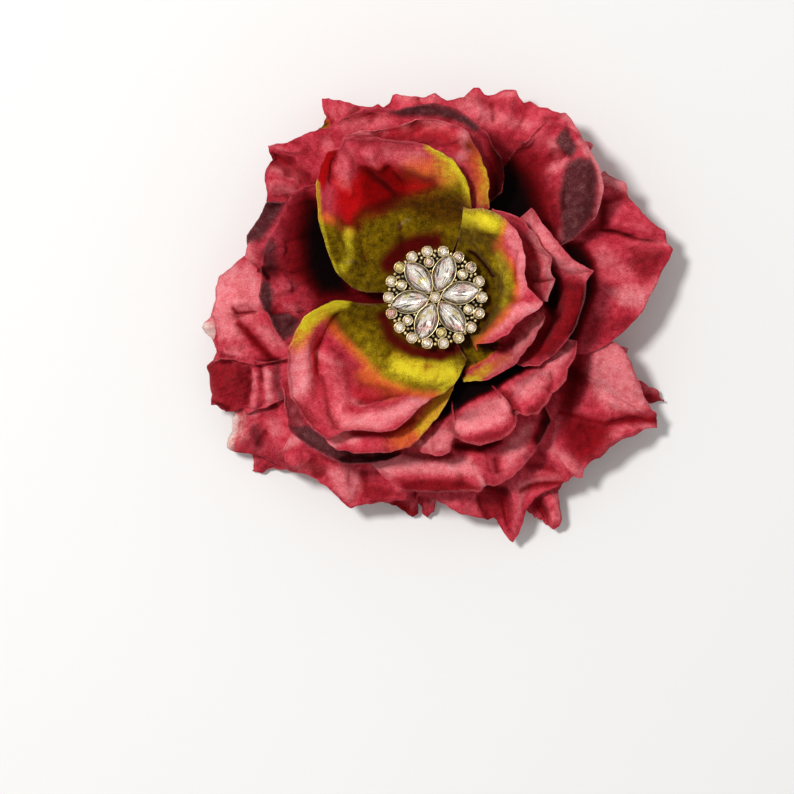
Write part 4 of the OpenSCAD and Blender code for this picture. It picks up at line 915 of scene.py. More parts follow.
        "folds": [(0.7, 2, [(-22, 48), (-28, 53)]), (-0.7, 1.8, [(-27, 47), (-30, 50)])],
        "strokes": [
            ("pale", 0.35, 2.5, [(-27, 50), (-22, 50)]), ("olive", 0.9, 1.0, [(-31, 46), (-30, 47)]),
            ("crease", 0.7, 1.2, [(-23, 49), (-21, 51)])],
    },
}


def clothMaterial(name):
    made, start, place = startMaterial(name)
    grid = start.node("ShaderNodeTexCoord", out="UV")
    blotch = place.clouds(150.0, 4.0)
    mottle = place.clouds(620.0, 5.0)
    grain = place.clouds(2600.0, 2.0)
    lengthways = start.node("ShaderNodeMapping", None, {"Vector": grid, "Scale": (34.0, 2.5, 1.0)})
    veins = lengthways.clouds(1.0, 3.0)
    uneven = (blotch - 0.5) * 0.5 + (mottle - 0.5) * 0.35 + (grain - 0.5) * 0.15

    def layerShare(key, patchy=1.0):
        # how much of a layer lies here, a dye or painted light and shade, made uneven
        layer = start.node("ShaderNodeAttribute", {"attribute_name": key}, out="Fac")
        return layer + uneven * layer.ramp(0.0, 0.5) * patchy

    # first the ground of crimson and rose, then one layer over the other: dyes, painted highlight and painted shade
    colour = ((blotch - 0.5) * 1.3 + (mottle - 0.5) * 0.8 + 0.5).ramp(0.05, 0.95).mix(clothColours["crimson"], clothColours["rose"])
    colour = (veins.ramp(0.5, 0.75) * 0.3).mix(colour, clothColours["deep"])
    red = layerShare("red")
    colour = red.ramp(0.1, 0.9).mix(colour, clothColours["scarlet"])
    # pink painted highlight on lit ridges, rims and the lit sides of petals
    colour = (layerShare("pale").ramp(0.05, 1.0) * 0.9).mix(colour, clothColours["pink"])
    olive, yellow = layerShare("olive"), layerShare("yellow")
    colour = olive.ramp(0.03, 0.4).mix(colour, red.ramp(0.0, 0.6).mix(clothColours["orange"], clothColours["rust"]))
    green = (mottle * 0.5 + blotch * 0.3 + grain * 0.2).ramp(0.3, 0.7).mix(clothColours["olive"], clothColours["moss"])
    colour = olive.ramp(0.3, 0.85).mix(colour, green)
    colour = yellow.ramp(0.08, 0.45).mix(colour, olive.ramp(0.3, 0.8).mix(clothColours["amber"], clothColours["moss"]))
    colour = yellow.ramp(0.25, 1.0).mix(colour, clothColours["yellow"])
    # a smoky grey, partly the cloth's own tint on rolled lips and partly painted shade
    grey = (mottle * 0.5 + grain * 0.2 + veins * 0.3).ramp(0.42, 0.86).mix(clothColours["smoke"], clothColours["ash"])
    colour = (layerShare("grey").ramp(0.1, 1.0) * 0.9).mix(colour, grey)
    # cream tips, and small painted glints
    colour = layerShare("cream").ramp(0.1, 0.9).mix(colour, clothColours["cream"])
    # maroon painted shade round the button and along some folds
    colour = layerShare("stain").ramp(0.1, 0.9).mix(colour, clothColours["maroon"])
    # painted shade in creases and on the rolled-under part of lips, multiplied in
    colour = layerShare("crease", 0.5).ramp(0.0, 1.0).mix(colour, clothColours["wine"], "MULTIPLY")
    # painted shade of hollows, gaps and the petals' bases, through wine to near black
    dark = layerShare("dark", 0.2)
    colour = dark.ramp(0.0, 0.7).mix(colour, clothColours["wine"], "MULTIPLY")
    colour = dark.ramp(0.3, 1.0).mix(colour, clothColours["night"])
    # the faint pink of the cut edges: fuzz of the cut cloth, and a painted highlight where light catches the rim
    colour = (layerShare("edge").ramp(0.1, 0.9) * 0.12).mix(colour, clothColours["pink"])
    flecks = (grain - 0.5) * 0.8 + (mottle - 0.5) * 0.5 + 0.5  # light and dark fibres
    colour = flecks.over(colour, "OVERLAY")

    threads = {"Vector": grid, "Scale": 42.0, "Distortion": 1.2, "Detail": 2.0}
    warp, weft = (start.node("ShaderNodeTexWave", {"bands_direction": way}, threads) for way in "XY")
    height = warp * 0.25 + weft * 0.25 + grain * 0.5 + mottle * 1.4 + veins * 0.8
    finishMaterial(start, {"Base Color": colour, "Roughness": 0.66 + mottle * 0.25, "Normal": height.bump(0.8, 0.3),
                           "Specular IOR Level": 0.05, "Sheen Weight": 0.03, "Sheen Roughness": 0.35,
                           "Sheen Tint": (1.0, 0.6, 0.64, 1.0)})
    return made


def smooth(low, high, value):
    share = np.clip((value - low) / (high - low), 0, 1)
    return share * share * (3 - 2 * share)


def unit(vectors):
    return vectors / np.maximum(np.linalg.norm(vectors, axis=-1, keepdims=True), 1e-9)


def polar(radius, angle, height):
    angle = np.radians(angle)
    return np.stack([radius * np.cos(angle), radius * np.sin(angle), np.broadcast_to(height, np.shape(angle))], -1)


def noiseField(points, scale, seed):
    # uneven values over a field of points, with hills about as wide as the scale
    shift = Vector((seed * 3.17, seed * 5.71, seed * 1.93))
    values = [noise.noise(Vector(p) + shift) for p in (points / scale).reshape(-1, 3)]
    return np.array(values).reshape(points.shape[:-1])


def rimWaves(share, count, shift, seed, layer):
    # uneven waves along a rim
    return np.array([noise.noise(Vector((s * count + seed * shift, seed, layer))) for s in share])


def lineField(points, u, v):
    # distance to a drawn line, which side of it, and how far along it
    points = [np.array(p, float) for p in points]
    near, side, along = np.full(u.shape, np.inf), np.zeros(u.shape), np.zeros(u.shape)
    lengths = [np.linalg.norm(b - a) for a, b in zip(points, points[1:])]
    passed = 0
    for a, b, length in zip(points, points[1:], lengths):
        du, dv = (b - a) / length
        run = np.clip((u - a[0]) * du + (v - a[1]) * dv, 0, length)
        gap = np.hypot(u - a[0] - run * du, v - a[1] - run * dv)
        closer = gap < near
        near = np.where(closer, gap, near)
        side = np.where(closer, np.sign(du * (v - a[1]) - dv * (u - a[0])), side)
        along = np.where(closer, (passed + run) / sum(lengths), along)
        passed += length
    if np.allclose(points[0], points[-1]):  # a closed line: inside or outside
        inside = np.zeros(u.shape, bool)
        for a, b in zip(points, points[1:]):
            crosses = (a[1] > v) != (b[1] > v)
            drop = b[1] - a[1] if b[1] != a[1] else 1e-9
            inside ^= crosses & (u < a[0] + (v - a[1]) / drop * (b[0] - a[0]))
        side = np.where(inside, 1.0, -1.0)
    return near, side, along


def rimSpline(rim, share):
    # the rim's points, rounded through
    rim = np.array(rim, float)
    place = share * (len(rim) - 1)
    first = np.clip(place.astype(int), 0, len(rim) - 2)
    t = (place - first)[:, None]
    before, here = rim[np.maximum(first - 1, 0)], rim[first]
    there, after = rim[first + 1], rim[np.minimum(first + 2, len(rim) - 1)]
    leave, arrive = petalCloth["rounding"] * (there - before), petalCloth["rounding"] * (after - here)
    return ((2 * t**3 - 3 * t**2 + 1) * here + (t**3 - 2 * t**2 + t) * leave
            + (3 * t**2 - 2 * t**3) * there + (t**3 - t**2) * arrive)


def petalPoints(petal, seed):
    # rows of points from the base on its ledge, over the belly and round the curled lip
    columns, bodyRows, lipRows = petalCloth["columns"], petalCloth["bodyRows"], petalCloth["lipRows"]
    hundredth = petalCloth["reach"] / 100
    share = np.linspace(0, 1, columns)
    rim = rimSpline(petal["rim"], share)
    ruffle = petal.get("ruffle", 1.0) * (rimWaves(share, 7, 7, seed, 0) + 0.3 * rimWaves(share, 19, 5, seed, 2))
    fray = rimWaves(share, 55, 3, seed, 4)
    ledgeR = core["topR"] + core["ledgeW"] * (core["ledges"] - petal["ledge"])
    stepR = ledgeR - core["ledgeW"] + petalCloth["tuck"]
    z = core["firstZ"] + core["ledgeH"] * petal["ledge"] + petalCloth["cadThickness"] / 2
    first, last = petal["base"]
    angle = first + (last - first) * share
    bellyShare, bellyRise = petal["belly"]
    bow = petalCloth["sideBow"] * (angle - (first + last) / 2) if petal["ledge"] < petalCloth["bowedBelow"] else 0
    rimR = button["r"] + hundredth * rim[:, 1] + petalCloth["ruffleR"] * ruffle + petalCloth["fray"] * fray
    rimZ = np.maximum(z + hundredth * rim[:, 2] + petalCloth["ruffleZ"] * ruffle, petalCloth["leastZ"])
    root = polar(ledgeR, angle, z)
    edge = polar(rimR, rim[:, 0], rimZ)
    belly = polar(ledgeR + (rimR - ledgeR) * bellyShare, angle + (rim[:, 0] - angle) * bellyShare + bow,
                  z + hundredth * bellyRise)
    along = unit(edge - belly)
    level = np.hypot(along[:, 0], along[:, 1])
    up = np.stack([-along[:, 0] * along[:, 2] / level, -along[:, 1] * along[:, 2] / level, level], -1)
    # narrow lips stand nearly straight
    crisp = petalCloth["narrowTurn"] if petal["curl"] < petalCloth["narrowLip"] else 1.0
    rows, reach, lip = [polar(stepR, angle, z), root], [-0.05, 0.0], [0.0, 0.0]
    for j in range(1, bodyRows + 1):
        t = j / bodyRows
        rows.append((1 - t) ** 2 * root + 2 * t * (1 - t) * belly + t * t * edge)
        reach.append(t)
        lip.append(0.0)
    for j in range(1, lipRows + 1):
        turn = np.radians(rim[:, 3] * crisp * (1 + petalCloth["ruffleTurn"] * ruffle) * j / lipRows)[:, None]
        rows.append(edge + hundredth * petal["curl"] * (np.sin(turn) * along - (1 - np.cos(turn)) * up))
        reach.append(1.0)
        lip.append(j / lipRows)
    wide = np.ones(columns)
    return np.array(rows), np.outer(reach, wide), np.outer(lip, wide), np.broadcast_to(share, (len(reach), columns))


def seenAt(points):
    # where points are seen from the front, as edges, folds, dyes and painted light and shade are drawn, and how
    # much larger
    near = (camera["height"] - camera["trueZ"]) / (camera["height"] - points[..., 2])
    u = (points[..., 0] - camera["x"]) * near + camera["x"]
    v = (points[..., 1] - camera["y"]) * near + camera["y"]
    return u, v, near


def cutEdge(points, reach, outline):
    # the rim is drawn out, or in, to the edge the petal was cut to, along lines from the flower's middle
    u, v, near = seenAt(points)
    far, angle = np.hypot(u[-1], v[-1]), np.arctan2(v[-1], u[-1])
    shift = np.full(far.shape, np.inf)
    for (a, b), (c, d) in zip(outline, outline[1:]):
        slope = np.cos(angle) * (d - b) - np.sin(angle) * (c - a)
        slope = np.where(np.abs(slope) < 1e-6, 1e-6, slope)
        meets = (a * (d - b) - b * (c - a)) / slope - far
        run = (a * np.sin(angle) - b * np.cos(angle)) / slope
        shift = np.where((run >= 0) & (run <= 1) & (np.abs(meets) < np.abs(shift)), meets, shift)
    columns = np.arange(far.size)
    found = np.abs(shift) < cutting["farthest"]
    ends = columns[found][0] - cutting["fadeColumns"], columns[found][-1] + cutting["fadeColumns"]
    shift = np.interp(columns, [ends[0], *columns[found], ends[1]], [0, *shift[found], 0])
    wander = sum(amount * noiseField(points[-1], scale, seed) for amount, scale, seed in cutting["wander"])
    pull = (shift + wander) * smooth(cutting["from"], 1.0, reach) / near
    return points + np.stack([pull * np.cos(angle), pull * np.sin(angle), np.zeros(pull.shape)], -1)


def foldLift(petal, points, lengthways, seed):
    # soft pleats, sharp creases and small crumples, then the folds drawn for this petal
    crease = (1 - np.abs(noiseField(lengthways + 0.5 * points, folding["creaseL"], seed + 20))) ** 7
    crinkle = (1 - np.abs(noiseField(lengthways + 0.8 * points, folding["crinkleL"], seed + 30))) ** 5
    lift = folding["pleat"] * noiseField(lengthways, folding["pleatL"], seed)
    lift = lift - folding["crease"] * crease - folding["crinkle"] * crinkle
    lift = lift + folding["crumple"] * noiseField(points, folding["crumpleL"], seed + 40)
    lift = lift + folding["grain"] * noiseField(points, folding["grainL"], seed + 60)
    lift = lift * petal.get("crumple", 1.0)
    u, v, _ = seenAt(points)
    for height, spread, line in petal.get("folds", []):
        gap, _, run = lineField(line, u, v)
        sharp = folding["valley"] if height < 0 else folding["ridge"]  # valleys are creased, ridges rounder
        fold = folding["drawn"] * height * np.exp(-(gap / spread) ** sharp)
        lift = lift + fold * smooth(-0.02, 0.25, run) * smooth(1.02, 0.75, run)  # running out at both ends
    return lift


def colourLayers(petal, points, lengthways, reach, lip, across, lift, seed):
    # painted shade in the creases and painted highlight on the ridges, painted shade at the base, then the dyes and
    # painted light and shade drawn for this petal
    width, length = petal["cut"]
    layers = {key: np.zeros(reach.shape) for key in ("olive", "yellow", "red", "dark", "grey", "cream", "stain")}
    # painted highlight on the ridges
    layers["pale"] = lightPainting["pale"] * smooth(0.15, 1.1, lift) * smooth(0.3, 0.7, reach)
    # painted shade in the valleys, and on the rolled-under part of the lip
    layers["crease"] = np.maximum(lightPainting["crease"] * smooth(0.2, 1.4, -lift),
                                  petal["underside"] * smooth(0.35, 1.0, lip))
    # painted shade at the base, where each petal lies under the ones above, fading out along the petal
    shadeFrom, shadeTo = petal["baseShade"]
    uneven = reach + 0.05 * noiseField(lengthways, 6.0, seed + 80)
    layers["dark"] += lightPainting["dark"] - lightPainting["dark"] * smooth(shadeFrom, shadeTo, uneven)
    u, v, _ = seenAt(points)
    for key, amount, spread, line in petal.get("washes", []):
        gap, side, _ = lineField(line, u, v)
        layers[key] = np.maximum(layers[key], amount * smooth(-spread, spread, gap * side))
    for key, amount, spread, line in petal["strokes"]:
        gap = lineField(line, u, v)[0]
        layers[key] = np.maximum(layers[key], amount * np.exp(-(gap / spread) ** 2))
    # a faint pink at the cut edges and lip ends: fuzz of the cut cloth, and a painted highlight where light catches
    # the rim
    toSide = np.minimum(across, 1 - across) * width
    toLip = (1 - lip) * petalCloth["reach"] / 100 * petal["curl"] * 0.6 + (1 - reach) * length
    layers["edge"] = 1 - smooth(*lightPainting["edgeW"], np.minimum(toSide, toLip))
    return layers


def makePetal(node, petal, seed, cloth):
    points, reach, lip, across = petalPoints(petal, seed)
    points = cutEdge(points, reach, petal["outline"])
    width, length = petal["cut"]
    upward = unit(np.cross(np.gradient(points, axis=0), np.gradient(points, axis=1)))
    lengthways = np.stack([across * width, reach * length * 0.35, lip], -1)  # pleats run along the petal
    lift = foldLift(petal, points, lengthways, seed)
    layers = colourLayers(petal, points, lengthways, reach, lip, across, lift, seed)
    points = points + upward * (lift * smooth(0.02, 0.3, reach))[..., None]  # the base stays on its ledge

    # a grid of cloth, laid over these points
    deselectAll()
    rows, columns = reach.shape
    bpy.ops.mesh.primitive_grid_add(x_subdivisions=columns - 1, y_subdivisions=rows - 1, size=2)
    piece = bpy.context.object
    words = node.split("_")
    piece.name = words[0] + "".join(word.title() for word in words[1:])
    mesh = piece.data
    mesh.name = piece.name
    flat = np.zeros(len(mesh.vertices) * 3, np.float32)
    mesh.vertices.foreach_get("co", flat)
    flat = flat.reshape(-1, 3)
    column = columns - 1 - np.rint((flat[:, 0] + 1) / 2 * (columns - 1)).astype(int)
    row = np.rint((flat[:, 1] + 1) / 2 * (rows - 1)).astype(int)
    mesh.vertices.foreach_set("co", (points[row, column] * mm).astype(np.float32).ravel())
    for key, layer in layers.items():
        mesh.attributes.new(key, "FLOAT", "POINT").data.foreach_set("value", layer[row, column].astype(np.float32))
    mesh.update()
    applyModifier(piece, "SOLIDIFY", thickness=petalCloth["thickness"] * mm, offset=0)

    # the painted shade of the base is weaker on the undersides
    both = np.zeros(len(mesh.vertices) * 3, np.float32)
    mesh.vertices.foreach_get("co", both)
    faceUp, faceDown = both.reshape(2, -1, 3)
    dark = layers["dark"][row, column]
    sides = [dark, lightPainting["baseShadeBelow"] * dark]
    if ((faceUp - faceDown) * upward[row, column]).sum() < 0:
        sides.reverse()
    mesh.attributes["dark"].data.foreach_set("value", np.concatenate(sides).astype(np.float32))
    dress(piece, cloth, 55)
    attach(piece, "flower")
    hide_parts(node)
    width * mm
    length * mm
    petalCloth["cutShare"] * width * length * mm * mm


petalFinish = clothMaterial("petalCloth")
for number, (node, petal) in enumerate(petals.items()):
    makePetal(node, petal, number + 1, petalFinish)
print("petals made:", len(petals))

# Stones: clear crown over a foiled back, sunk into the settings. Crown rows and back are shares of the
# stone's height and width; a ring is the stones' width, its radius and their number.
navette = {"length": 10.4, "width": 6.0, "height": 2.8, "r": 6.9, "turn": 10.0, "count": 6, "cuts": 20,
           "crown": [(0.2, 0.84), (0.18, 0.62), (0.12, 0.34)], "back": (0.1, 0.97, 0.1),
           "streaks": (11.0, 210.0, 2.0)}
roundStone = {"height": 2.2, "cuts": 10, "ring": (2.6, 12.5, 18), "accent": (2.4, 9.6, 6), "centre": 2.6,
              "centreTurn": 12, "crown": [(0.26, 0.8), (0.22, 0.5)], "back": (0.24, 0.55, 0.1),
              "streaks": (15.0, 320.0, 4.0)}
girdleT = 0.12  # a stone's straight edge
ringTurn = navette["turn"] + 180 / roundStone["ring"][2]
accentTurn = navette["turn"] + 180 / navette["count"]  # between two navettes


def selectFaces(piece, test):
    # in edit mode: only the faces whose middle passes the test
    bpy.ops.mesh.select_mode(type="FACE")
    bpy.ops.mesh.select_all(action="DESELECT")
    bpy.ops.object.mode_set(mode="OBJECT")
    for face in piece.data.polygons:
        face.select = test(face.center)
    bpy.ops.object.mode_set(mode="EDIT")


def raiseFaces(height, scale):
    # extrude what is selected, then draw it in
    bpy.ops.mesh.extrude_region_move(TRANSFORM_OT_translate={"value": spot(0, 0, height)})
    bpy.ops.transform.resize(value=(scale, scale, 1.0))


def ovalPoint(angle, extra):
    # the navette's outline: two arcs that meet in points
    arcR = (navette["length"] ** 2 + navette["width"] ** 2) / (4 * navette["width"])
    offset = arcR - navette["width"] / 2
    tip = math.sqrt((arcR + extra) ** 2 - offset ** 2)
    half = math.atan2(tip, offset)
    turn = half * math.sin(angle)  # closer together towards the points
    x, y = (arcR + extra) * math.sin(turn), (arcR + extra) * math.cos(turn) - offset
    return x, y if math.cos(angle) >= 0 else -y


def ovalRing(piece, extra):
    # move a circle's points onto the navette's outline
    for point in piece.data.vertices:
        x, y = ovalPoint(math.atan2(point.co.x, point.co.y), extra)
        point.co.x, point.co.y = x * mm, y * mm


def crystalMaterial():
    made, start, place = startMaterial("clearCrystal")
    haze = place.clouds(900.0, 2.0)
    finishMaterial(start, {"Base Color": haze.mix(shade(255, 255, 253), shade(252, 250, 244)),
                           "Roughness": 0.01 + haze * 0.03, "IOR": 1.54, "Transmission Weight": 1.0})
    return made


def foilMaterial(name, streaks):
    # silvered, with light and dark streaks that fan out from the stone's middle as painted facet flashes, and pink
    # and yellow patches as a painted reflection of the petals
    made, start, place = startMaterial(name)
    across, along, detail = streaks
    x, y = (start.node("ShaderNodeSeparateXYZ", None, {"Vector": place}, out=axis) for axis in "XY")
    far = start.sum("POWER", x * x + y * y, 0.5)
    fan = start.node("ShaderNodeCombineXYZ", None, {"X": start.sum("ARCTAN2", y, x) * across, "Y": far * along})
    streak = fan.clouds(1.0, detail)
    tint = place.clouds(330.0, 2.0)
    # the light and dark stops are painted facet flashes; the pink and pale yellow stops are a painted reflection of
    # the petals
    flashStops = [(0.36, shade(72, 62, 56)), (0.43, shade(255, 250, 244)), (0.5, shade(210, 192, 182)),
                   (0.56, shade(255, 253, 248)), (0.64, shade(128, 112, 102))]
    reflectionStops = [(0.34, shade(242, 204, 200)), (0.46, shade(255, 255, 252)), (0.56, shade(255, 255, 252)),
                  (0.66, shade(230, 220, 154))]
    facetFlash = start.node("ShaderNodeValToRGB", {"stops": flashStops}, {"Fac": streak})
    petalReflection = start.node("ShaderNodeValToRGB", {"stops": reflectionStops}, {"Fac": tint})
    finishMaterial(start, {"Base Color": petalReflection.over(facetFlash, "MULTIPLY"), "Metallic": 0.9,
                           "Roughness": 0.05 + streak * 0.16, "Normal": streak.bump(0.3, 0.1)})
    return made


def cutStone(name, stone, width, foil, oval=False):
    # girdle, rows of crown facets, table, and a foiled pavilion drawn down to a point
    deselectAll()
    height = stone["height"]
    girdle = 0.5 * height
    bpy.ops.mesh.primitive_circle_add(vertices=stone["cuts"], radius=width / 2 * mm, fill_type="NGON",
                                      location=(0, 0, 0))
    piece = bpy.context.object
    piece.name = name
    if oval:
        ovalRing(piece, 0)
    editAll(piece, "FACE")
    bpy.ops.transform.translate(value=spot(0, 0, girdle - girdleT))
    raiseFaces(girdleT, 1.0)
    for rise, scale in stone["crown"]:
        raiseFaces(rise * height, scale)
    bpy.ops.object.mode_set(mode="OBJECT")
    lowest = min(point.co.z for point in piece.data.vertices)
    bpy.ops.object.mode_set(mode="EDIT")
    selectFaces(piece, lambda middle: abs(middle.z - lowest) < 1e-6)
    drop, scale, lastDrop = stone["back"]
    raiseFaces(-drop * height, scale)
    bpy.ops.mesh.extrude_region_move(TRANSFORM_OT_translate={"value": spot(0, 0, -lastDrop * height)})
    bpy.ops.mesh.merge(type="CENTER")
    bpy.ops.mesh.select_all(action="SELECT")
    bpy.ops.mesh.quads_convert_to_tris(quad_method="BEAUTY", ngon_method="BEAUTY")
    bpy.ops.mesh.normals_make_consistent(inside=False)
    bpy.ops.object.mode_set(mode="OBJECT")
    piece.data.materials.append(crystal)
    piece.data.materials.append(foil)
    for face in piece.data.polygons:
        face.material_index = 1 if face.center.z < girdle * mm - 1e-7 else 0
    return piece


def placeStone(piece, node):
    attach(piece, "flower")
    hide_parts(node)


crystal = crystalMaterial()
navetteFoil = foilMaterial("navetteFoil", navette["streaks"])
roundFoil = foilMaterial("roundFoil", roundStone["streaks"])
oval = cutStone("navetteCut", navette, navette["length"], navetteFoil, oval=True)
for k, stone in enumerate(around(oval, navette["r"], navette["count"], navette["turn"], button["stoneZ"])):
    stone.name = "navetteStone%d" % (k + 1)
    placeStone(stone, "navette_stone_%d" % (k + 1))
removePiece(oval)
wide, reach, count = roundStone["ring"]
ringCut = cutStone("ringCut", roundStone, wide, roundFoil)
ringStones = around(ringCut, reach, count, ringTurn, button["stoneZ"])
placeStone(joinPieces(ringStones, "ringStones"), "ring_stones")
centreStones = around(ringCut, 0, 1, roundStone["centreTurn"], button["stoneZ"])
placeStone(joinPieces(centreStones, "centreStone"), "centre_stone")
removePiece(ringCut)
wide, reach, count = roundStone["accent"]
accentCut = cutStone("accentCut", roundStone, wide, roundFoil)
accentStones = around(accentCut, reach, count, accentTurn, button["stoneZ"])
placeStone(joinPieces(accentStones, "accentStones"), "accent_stones")
removePiece(accentCut)
print("stones cut and set")

# Setting: a plate, a cup for each stone, claws and beads. A claw is its turn about the stone, rise over
# the wall and tallness; a row of beads is share of the largest, radius, count, turn and rise.
setting = {"plateR": 13.0, "plateT": 1.0, "wall": 0.14, "gap": 0.03, "wallH": 1.1, "sides": 28, "claw": 0.3,
           "clawOut": 0.1, "ovalClaw": (62, 0.1, 1.5), "roundClaw": (45, 0.08, 1.3), "bead": 1.0,
           "beads": [(1.0, 12.5, 18, 0, 0.35), (0.75, 11.5, 12, 22, 0.45), (0.75, 11.4, 6, 14, 0.35),
                     (0.75, 4.4, 6, 30, 0.4), (0.75, 7.2, 6, 30, 0.35), (0.75, 10.4, 6, 17, 0.35),
                     (1.0, 11.2, 6, 20.9, 0.2), (0.75, 10.4, 6, 43, 0.35), (1.0, 11.2, 6, 39.1, 0.2)]}


def goldMaterial():
    # black in the depths: painted shade in the gaps between the cups, together with antique blackening; rubbed
    # bright on top
    made, start, place = startMaterial("antiqueGold")
    height = start.node("ShaderNodeSeparateXYZ", None, {"Vector": place}, out="Z") * 1000
    wear = place.clouds(700.0, 5.0)
    pits = place.clouds(3200.0, 2.0)
    bright = (height + (wear - 0.5) * 0.8).ramp(button["stoneZ"] + 0.15, button["stoneZ"] + 0.75)
    gold = wear.ramp(0.3, 0.7).mix(shade(200, 172, 114), shade(240, 224, 180))
    finishMaterial(start, {"Base Color": bright.mix(shade(9, 6, 4), gold), "Metallic": 0.55 + bright * 0.45,
                           "Roughness": 0.5 - bright * 0.24 + wear * 0.1, "Normal": (pits + wear).bump(0.25, 0.1),
                           "Specular IOR Level": 0.15})
    return made


def cupWall(name, width, oval):
    # a thin wall round a stone, with a rounded top
    deselectAll()
    inner = width / 2 + setting["gap"]
    bpy.ops.mesh.primitive_circle_add(vertices=setting["sides"], radius=inner * mm, fill_type="NOTHING",
                                      location=spot(0, 0, -setting["plateT"] / 2))
    piece = bpy.context.object
    piece.name = name
    if oval:
        ovalRing(piece, setting["gap"])
    editAll(piece, "EDGE")
    wall = setting["plateT"] / 2 + setting["wallH"]
    bpy.ops.mesh.extrude_region_move(TRANSFORM_OT_translate={"value": spot(0, 0, wall)})
    bpy.ops.mesh.select_all(action="SELECT")
    bpy.ops.mesh.normals_make_consistent(inside=True)
    bpy.ops.object.mode_set(mode="OBJECT")
    applyModifier(piece, "SOLIDIFY", thickness=setting["wall"] * mm, offset=-1, use_even_offset=True)
    roundEdges(piece, 0.06, 2, 50)
    return piece


def bead(width, x, y, z, tall=1.0):
    deselectAll()
    bpy.ops.mesh.primitive_uv_sphere_add(segments=12, ring_count=8, radius=width / 2 * mm, location=spot(x, y, z))
    piece = bpy.context.object
    piece.scale = (1, 1, tall)
    fixPlace()
    return piece


def makeSetting():
    deselectAll()
    bpy.ops.mesh.primitive_cylinder_add(vertices=96, radius=setting["plateR"] * mm, depth=setting["plateT"] * mm,
                                        location=spot(0, 0, button["plateZ"] + setting["plateT"] / 2))
    plate = bpy.context.object
    fixPlace()
    roundEdges(plate, 0.25, 3, 50)
    parts = [plate]
    oval = cupWall("ovalCup", navette["length"], True)
    turn, rise, tall = setting["ovalClaw"]
    for side, tip in ((-1, -1), (-1, 1), (1, -1), (1, 1)):  # four claws a stone, near its points
        x, y = ovalPoint(math.radians(turn) * tip, setting["clawOut"])
        claw = bead(2 * setting["claw"], x, side * abs(y), setting["wallH"] + rise, tall)
        oval = joinPieces([oval, claw], "ovalCup")
    parts += around(oval, navette["r"], navette["count"], navette["turn"], button["stoneZ"])
    removePiece(oval)
    first, rise, tall = setting["roundClaw"]
    centreRing = (roundStone["centre"], 0, 1, 0)
    rings = (roundStone["ring"] + (ringTurn,), roundStone["accent"] + (accentTurn,), centreRing)
    for width, radius, count, turn in rings:
        cup = cupWall("roundCup", width, False)
        clawR = width / 2 + setting["clawOut"]
        for k in range(4):
            angle = math.radians(first + 90 * k)
            claw = bead(2 * setting["claw"], clawR * math.cos(angle), clawR * math.sin(angle),
                        setting["wallH"] + rise, tall)
            cup = joinPieces([cup, claw], "roundCup")
        parts += around(cup, radius, count, turn, button["stoneZ"])
        removePiece(cup)
    for share, radius, count, turn, rise in setting["beads"]:
        ball = bead(share * setting["bead"], 0, 0, 0)
        parts += around(ball, radius, count, navette["turn"] + turn, button["stoneZ"] + rise)
        removePiece(ball)
    piece = joinPieces(parts, "buttonSetting")
    dress(piece, gold, 40)
    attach(piece, "flower")
    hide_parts("button_setting")


gold = goldMaterial()
makeSetting()
print("setting made")

# Clip: stamped strip, a turned pin and a wound spring
clip = {"rounding": 0.16, "pinRounding": 0.12}
spring = {"wire": 0.6, "coilR": 1.7, "turns": 3, "pitch": 1.15, "axis": (24.0, 3.4), "footZ": 0.83, "headZ": 5.97,
          "steps": 26, "legSteps": 6}


def steelMaterial(name, colour, stain, roughness):
    # brushed along the strip, a little tarnished
    made, start, place = startMaterial(name)
    drawn = start.node("ShaderNodeMapping", None, {"Vector": place, "Scale": (120.0, 2600.0, 2600.0)})
    brushed = drawn.clouds(1.0, 3.0)
    tarnish = place.clouds(210.0, 5.0)
    finishMaterial(start, {"Base Color": tarnish.ramp(0.45, 0.8).mix(colour, stain), "Metallic": 1.0,
                           "Roughness": roughness + brushed * 0.14 + tarnish * 0.1,
                           "Normal": brushed.bump(0.12, 0.1)})
    return made


def roundedCopy(node, name, width, body, material):
    # the drawn solid again, with its edges rounded over
    piece = bpy.data.objects.new(name, cadNodes[node].data.copy())
    piece.data.name = name
    bpy.context.scene.collection.objects.link(piece)
    editAll(piece, "VERT")
    bpy.ops.mesh.remove_doubles(threshold=1e-6)
    bpy.ops.mesh.dissolve_limited(angle_limit=math.radians(0.5))
    bpy.ops.object.mode_set(mode="OBJECT")
    roundEdges(piece, width, 3, 40)
    dress(piece, material, 35)
    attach(piece, body)
    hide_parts(node)


